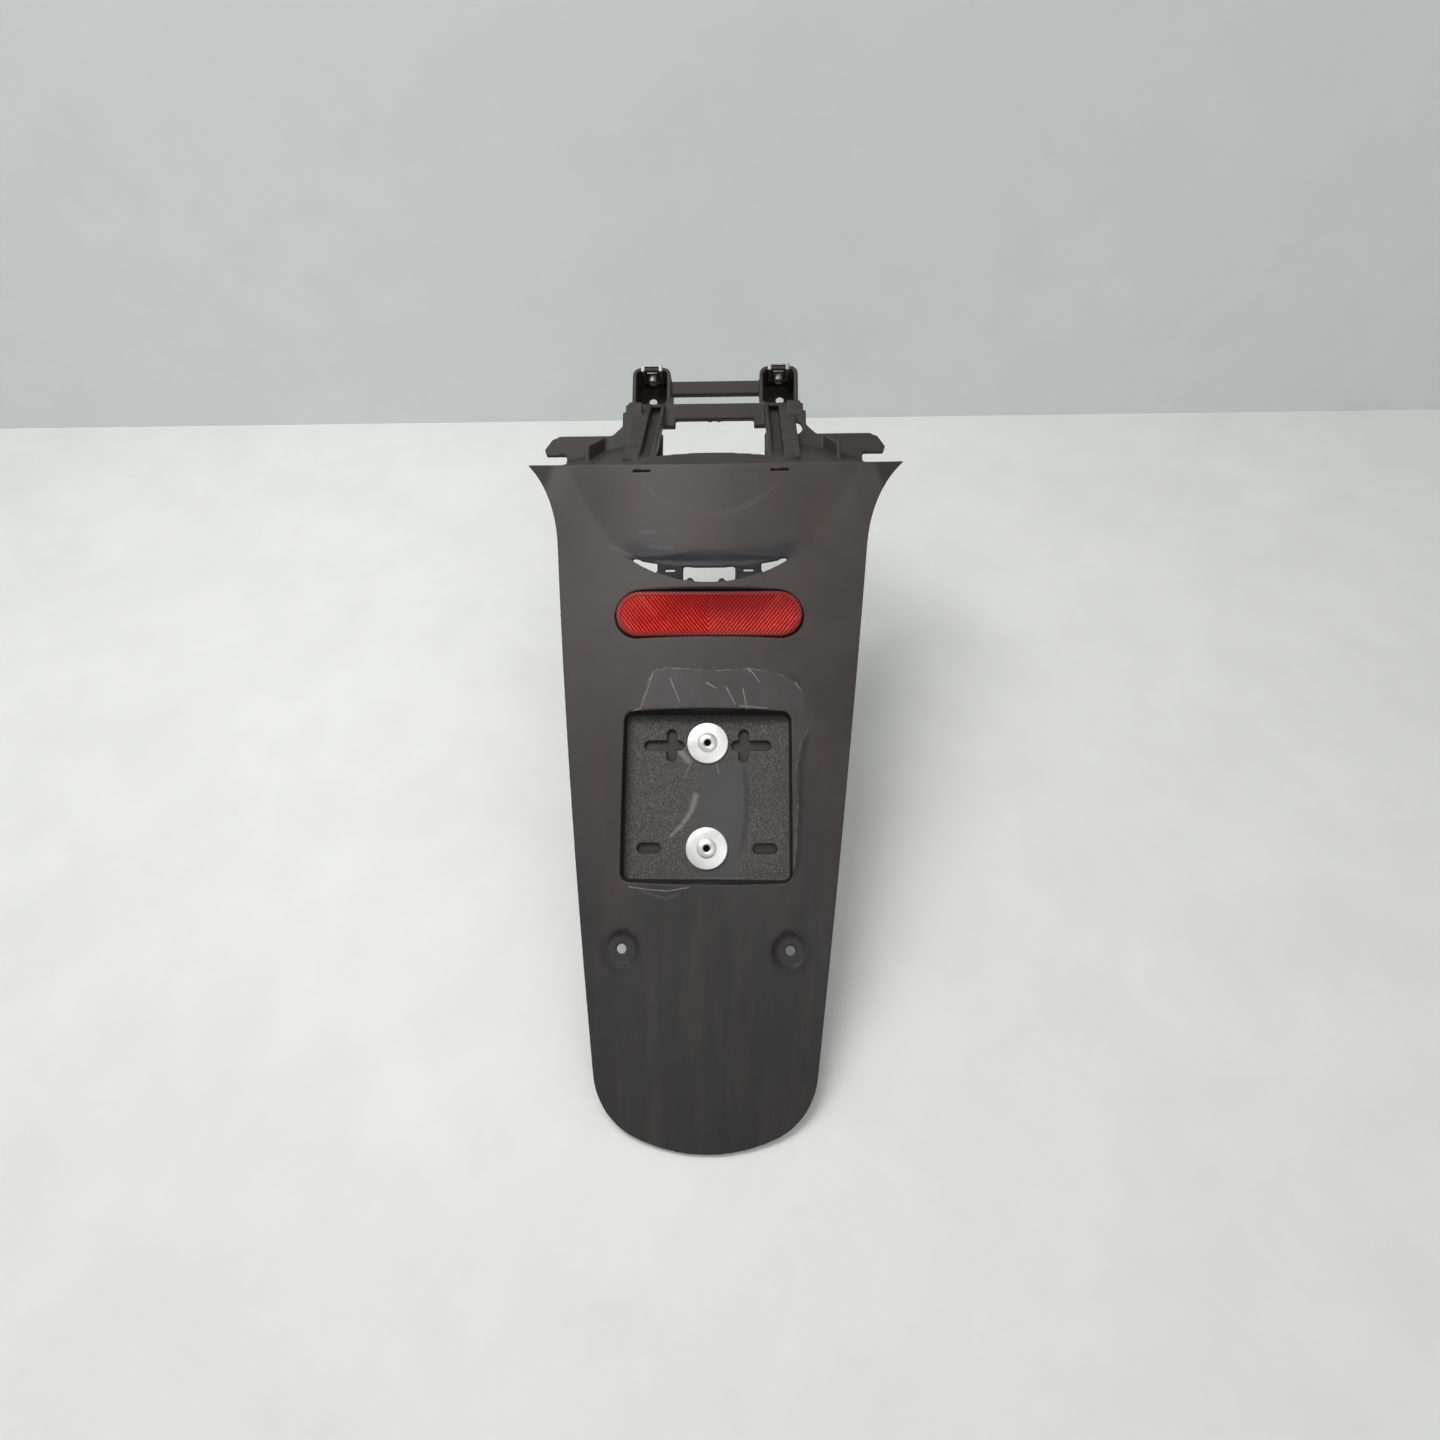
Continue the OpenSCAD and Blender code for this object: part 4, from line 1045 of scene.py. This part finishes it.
def makeDarkPlastic(name, color, dustColor, size):
    mat, tree, bsdf, coords, point = startMaterial(name)
    film = useGroup(tree, filmGroup, Point=point, Stretch=(0.2, 0.2, 0.03))
    grain = useGroup(tree, grainGroup, Point=point, Size=size)
    mixed = mixColors(tree, times(tree, film["Broad"], 0.5), color, dustColor)
    mixed = mixColors(tree, times(tree, grain["Speckle"], 0.18), mixed, dustColor)
    tree.links.new(mixed, bsdf.inputs["Base Color"])
    tree.links.new(ramp(tree, film["Broad"], 0.0, 1.0, 0.48, 0.66, "LINEAR"), bsdf.inputs["Roughness"])
    bumpInto(tree, bsdf, grain["Height"], 0.00012)
    return mat


metalMats = {name: makeMetal(name, facts) for name, facts in metals.items()}
for washer, rivet, mandrel in rivetSets:
    dress(washer, metalMats["satinAluminium"])
    dress(rivet, metalMats["rivetAluminium"])
    dress(mandrel, metalMats["shadedMandrelSteel"])
for piece in backHardware:
    dress(piece, metalMats["zincPlate"])
for piece in clipNuts:
    dress(piece, metalMats["springSteel"])
dress(backPlate, makeDarkPlastic("backPlatePlastic", (0.022, 0.020, 0.019), (0.045, 0.040, 0.037), 0.7))
dress(lensBase, makeDarkPlastic("basePlastic", (0.022, 0.022, 0.023), (0.05, 0.048, 0.045), 0.5))
print("pieces dressed")

# the table under the fender and the wall behind it
stage = {
    "tip": (-0.0516, -0.5200),   # Y and Z where the tongue's end lies on the table
    "tilt": 26.57,               # degrees between the table and the tongue's length
    "wallAway": 0.716,           # from the tip to the wall, along the table
    "tableColor": (0.77, 0.77, 0.755),
    "wallColor": (0.76, 0.80, 0.80),
}


def stageMaterial(name, color, marks):
    mat, tree, bsdf, coords, point = startMaterial(name)
    film = useGroup(tree, filmGroup, Point=point, Stretch=(0.004, 0.03, 0.004))
    shade = ramp(tree, film["Broad"], 0.0, 1.0, 1.0 - marks, 1.0, "LINEAR")
    tree.links.new(mixColors(tree, 1.0, color, shade, "MULTIPLY"), bsdf.inputs["Base Color"])
    bsdf.inputs["Roughness"].default_value = 0.55
    geometry = addNode(tree, "ShaderNodeNewGeometry")
    clear = addNode(tree, "ShaderNodeBsdfTransparent")
    mix = addNode(tree, "ShaderNodeMixShader")
    tree.links.new(geometry.outputs["Backfacing"], mix.inputs[0])
    tree.links.new(bsdf.outputs[0], mix.inputs[1])
    tree.links.new(clear.outputs[0], mix.inputs[2])
    tree.links.new(mix.outputs[0], tree.nodes["Material Output"].inputs[0])
    return mat


def stagePlane(name, base, onward, normal, reach):
    clearSelection()
    bpy.ops.mesh.primitive_plane_add(size=1)
    plane = bpy.context.object
    plane.name = plane.data.name = name
    turn = Matrix((onward.cross(normal), onward, normal)).transposed().to_4x4()
    plane.matrix_world = Matrix.Translation(base + onward * reach / 2) @ turn
    plane.scale = (8, reach, 1)
    settle(plane)
    return plane


def makeStage(facts):
    tilt = math.radians(facts["tilt"])
    along = Vector((0, math.sin(tilt), math.cos(tilt)))
    up = Vector((0, -math.cos(tilt), math.sin(tilt)))
    base = Vector((0, *facts["tip"])) + along * facts["wallAway"]
    table = stagePlane("tableTop", base, -along, up, 5.0)
    dress(table, stageMaterial("tablePaint", facts["tableColor"], 0.05))
    wall = stagePlane("backWall", base, up, -along, 4.0)
    dress(wall, stageMaterial("wallPaint", facts["wallColor"], 0.03))
    return along, up


along, up = makeStage(stage)
print("stage made")

lights = {
    "sky": 0.46,
    "lamps": [
        # name, metres to the right, along and above the table, metres across, watts
        ("ceilingPanel", -0.45, 0.42, 1.2, 1.0, 19.0),
        ("frontPanel", 0.5, -1.0, 1.2, 1.2, 3.0),
    ],
}
cameraFacts = {
    "place": (0.0262, -0.5456, -0.3573),
    "pitch": 10.0,
    "yaw": -2.2,
    "roll": 0.43,
    "lens": 20.25,
}


def makeLight(facts):
    world = bpy.data.worlds.new("softRoom")
    bpy.context.scene.world = world
    world.use_nodes = True
    back = world.node_tree.nodes["Background"]
    back.inputs[0].default_value = (1, 1, 1, 1)
    back.inputs[1].default_value = facts["sky"]
    middle = Vector((0, -0.05, -0.28))
    for name, right, ahead, high, size, watts in facts["lamps"]:
        data = bpy.data.lights.new(name, "AREA")
        data.shape = "DISK"
        data.size = size
        data.energy = watts
        lamp = bpy.data.objects.new(name, data)
        lamp.location = middle + Vector((right, 0, 0)) + along * ahead + up * high
        lamp.rotation_euler = (middle - lamp.location).to_track_quat("-Z", "Y").to_euler()
        bpy.context.scene.collection.objects.link(lamp)


def makeCamera(facts):
    pitch, yaw, roll = (math.radians(facts[key]) for key in ("pitch", "yaw", "roll"))
    level = Vector((math.sin(yaw), math.cos(yaw), 0))
    side = Vector((math.cos(yaw), -math.sin(yaw), 0))
    look = math.cos(pitch) * level + Vector((0, 0, math.sin(pitch)))
    rise = -math.sin(pitch) * level + Vector((0, 0, math.cos(pitch)))
    right = math.cos(roll) * side + math.sin(roll) * rise
    top = math.cos(roll) * rise - math.sin(roll) * side
    data = bpy.data.cameras.new("camera")
    data.lens = facts["lens"]
    data.sensor_width = 36
    data.clip_start = 0.01
    camera = bpy.data.objects.new("camera", data)
    turn = Matrix((right, top, -look)).transposed().to_4x4()
    camera.matrix_world = Matrix.Translation(facts["place"]) @ turn
    bpy.context.scene.collection.objects.link(camera)
    bpy.context.scene.camera = camera


makeLight(lights)
makeCamera(cameraFacts)
bpy.context.scene.view_settings.view_transform = "Standard"
print("light and camera made")
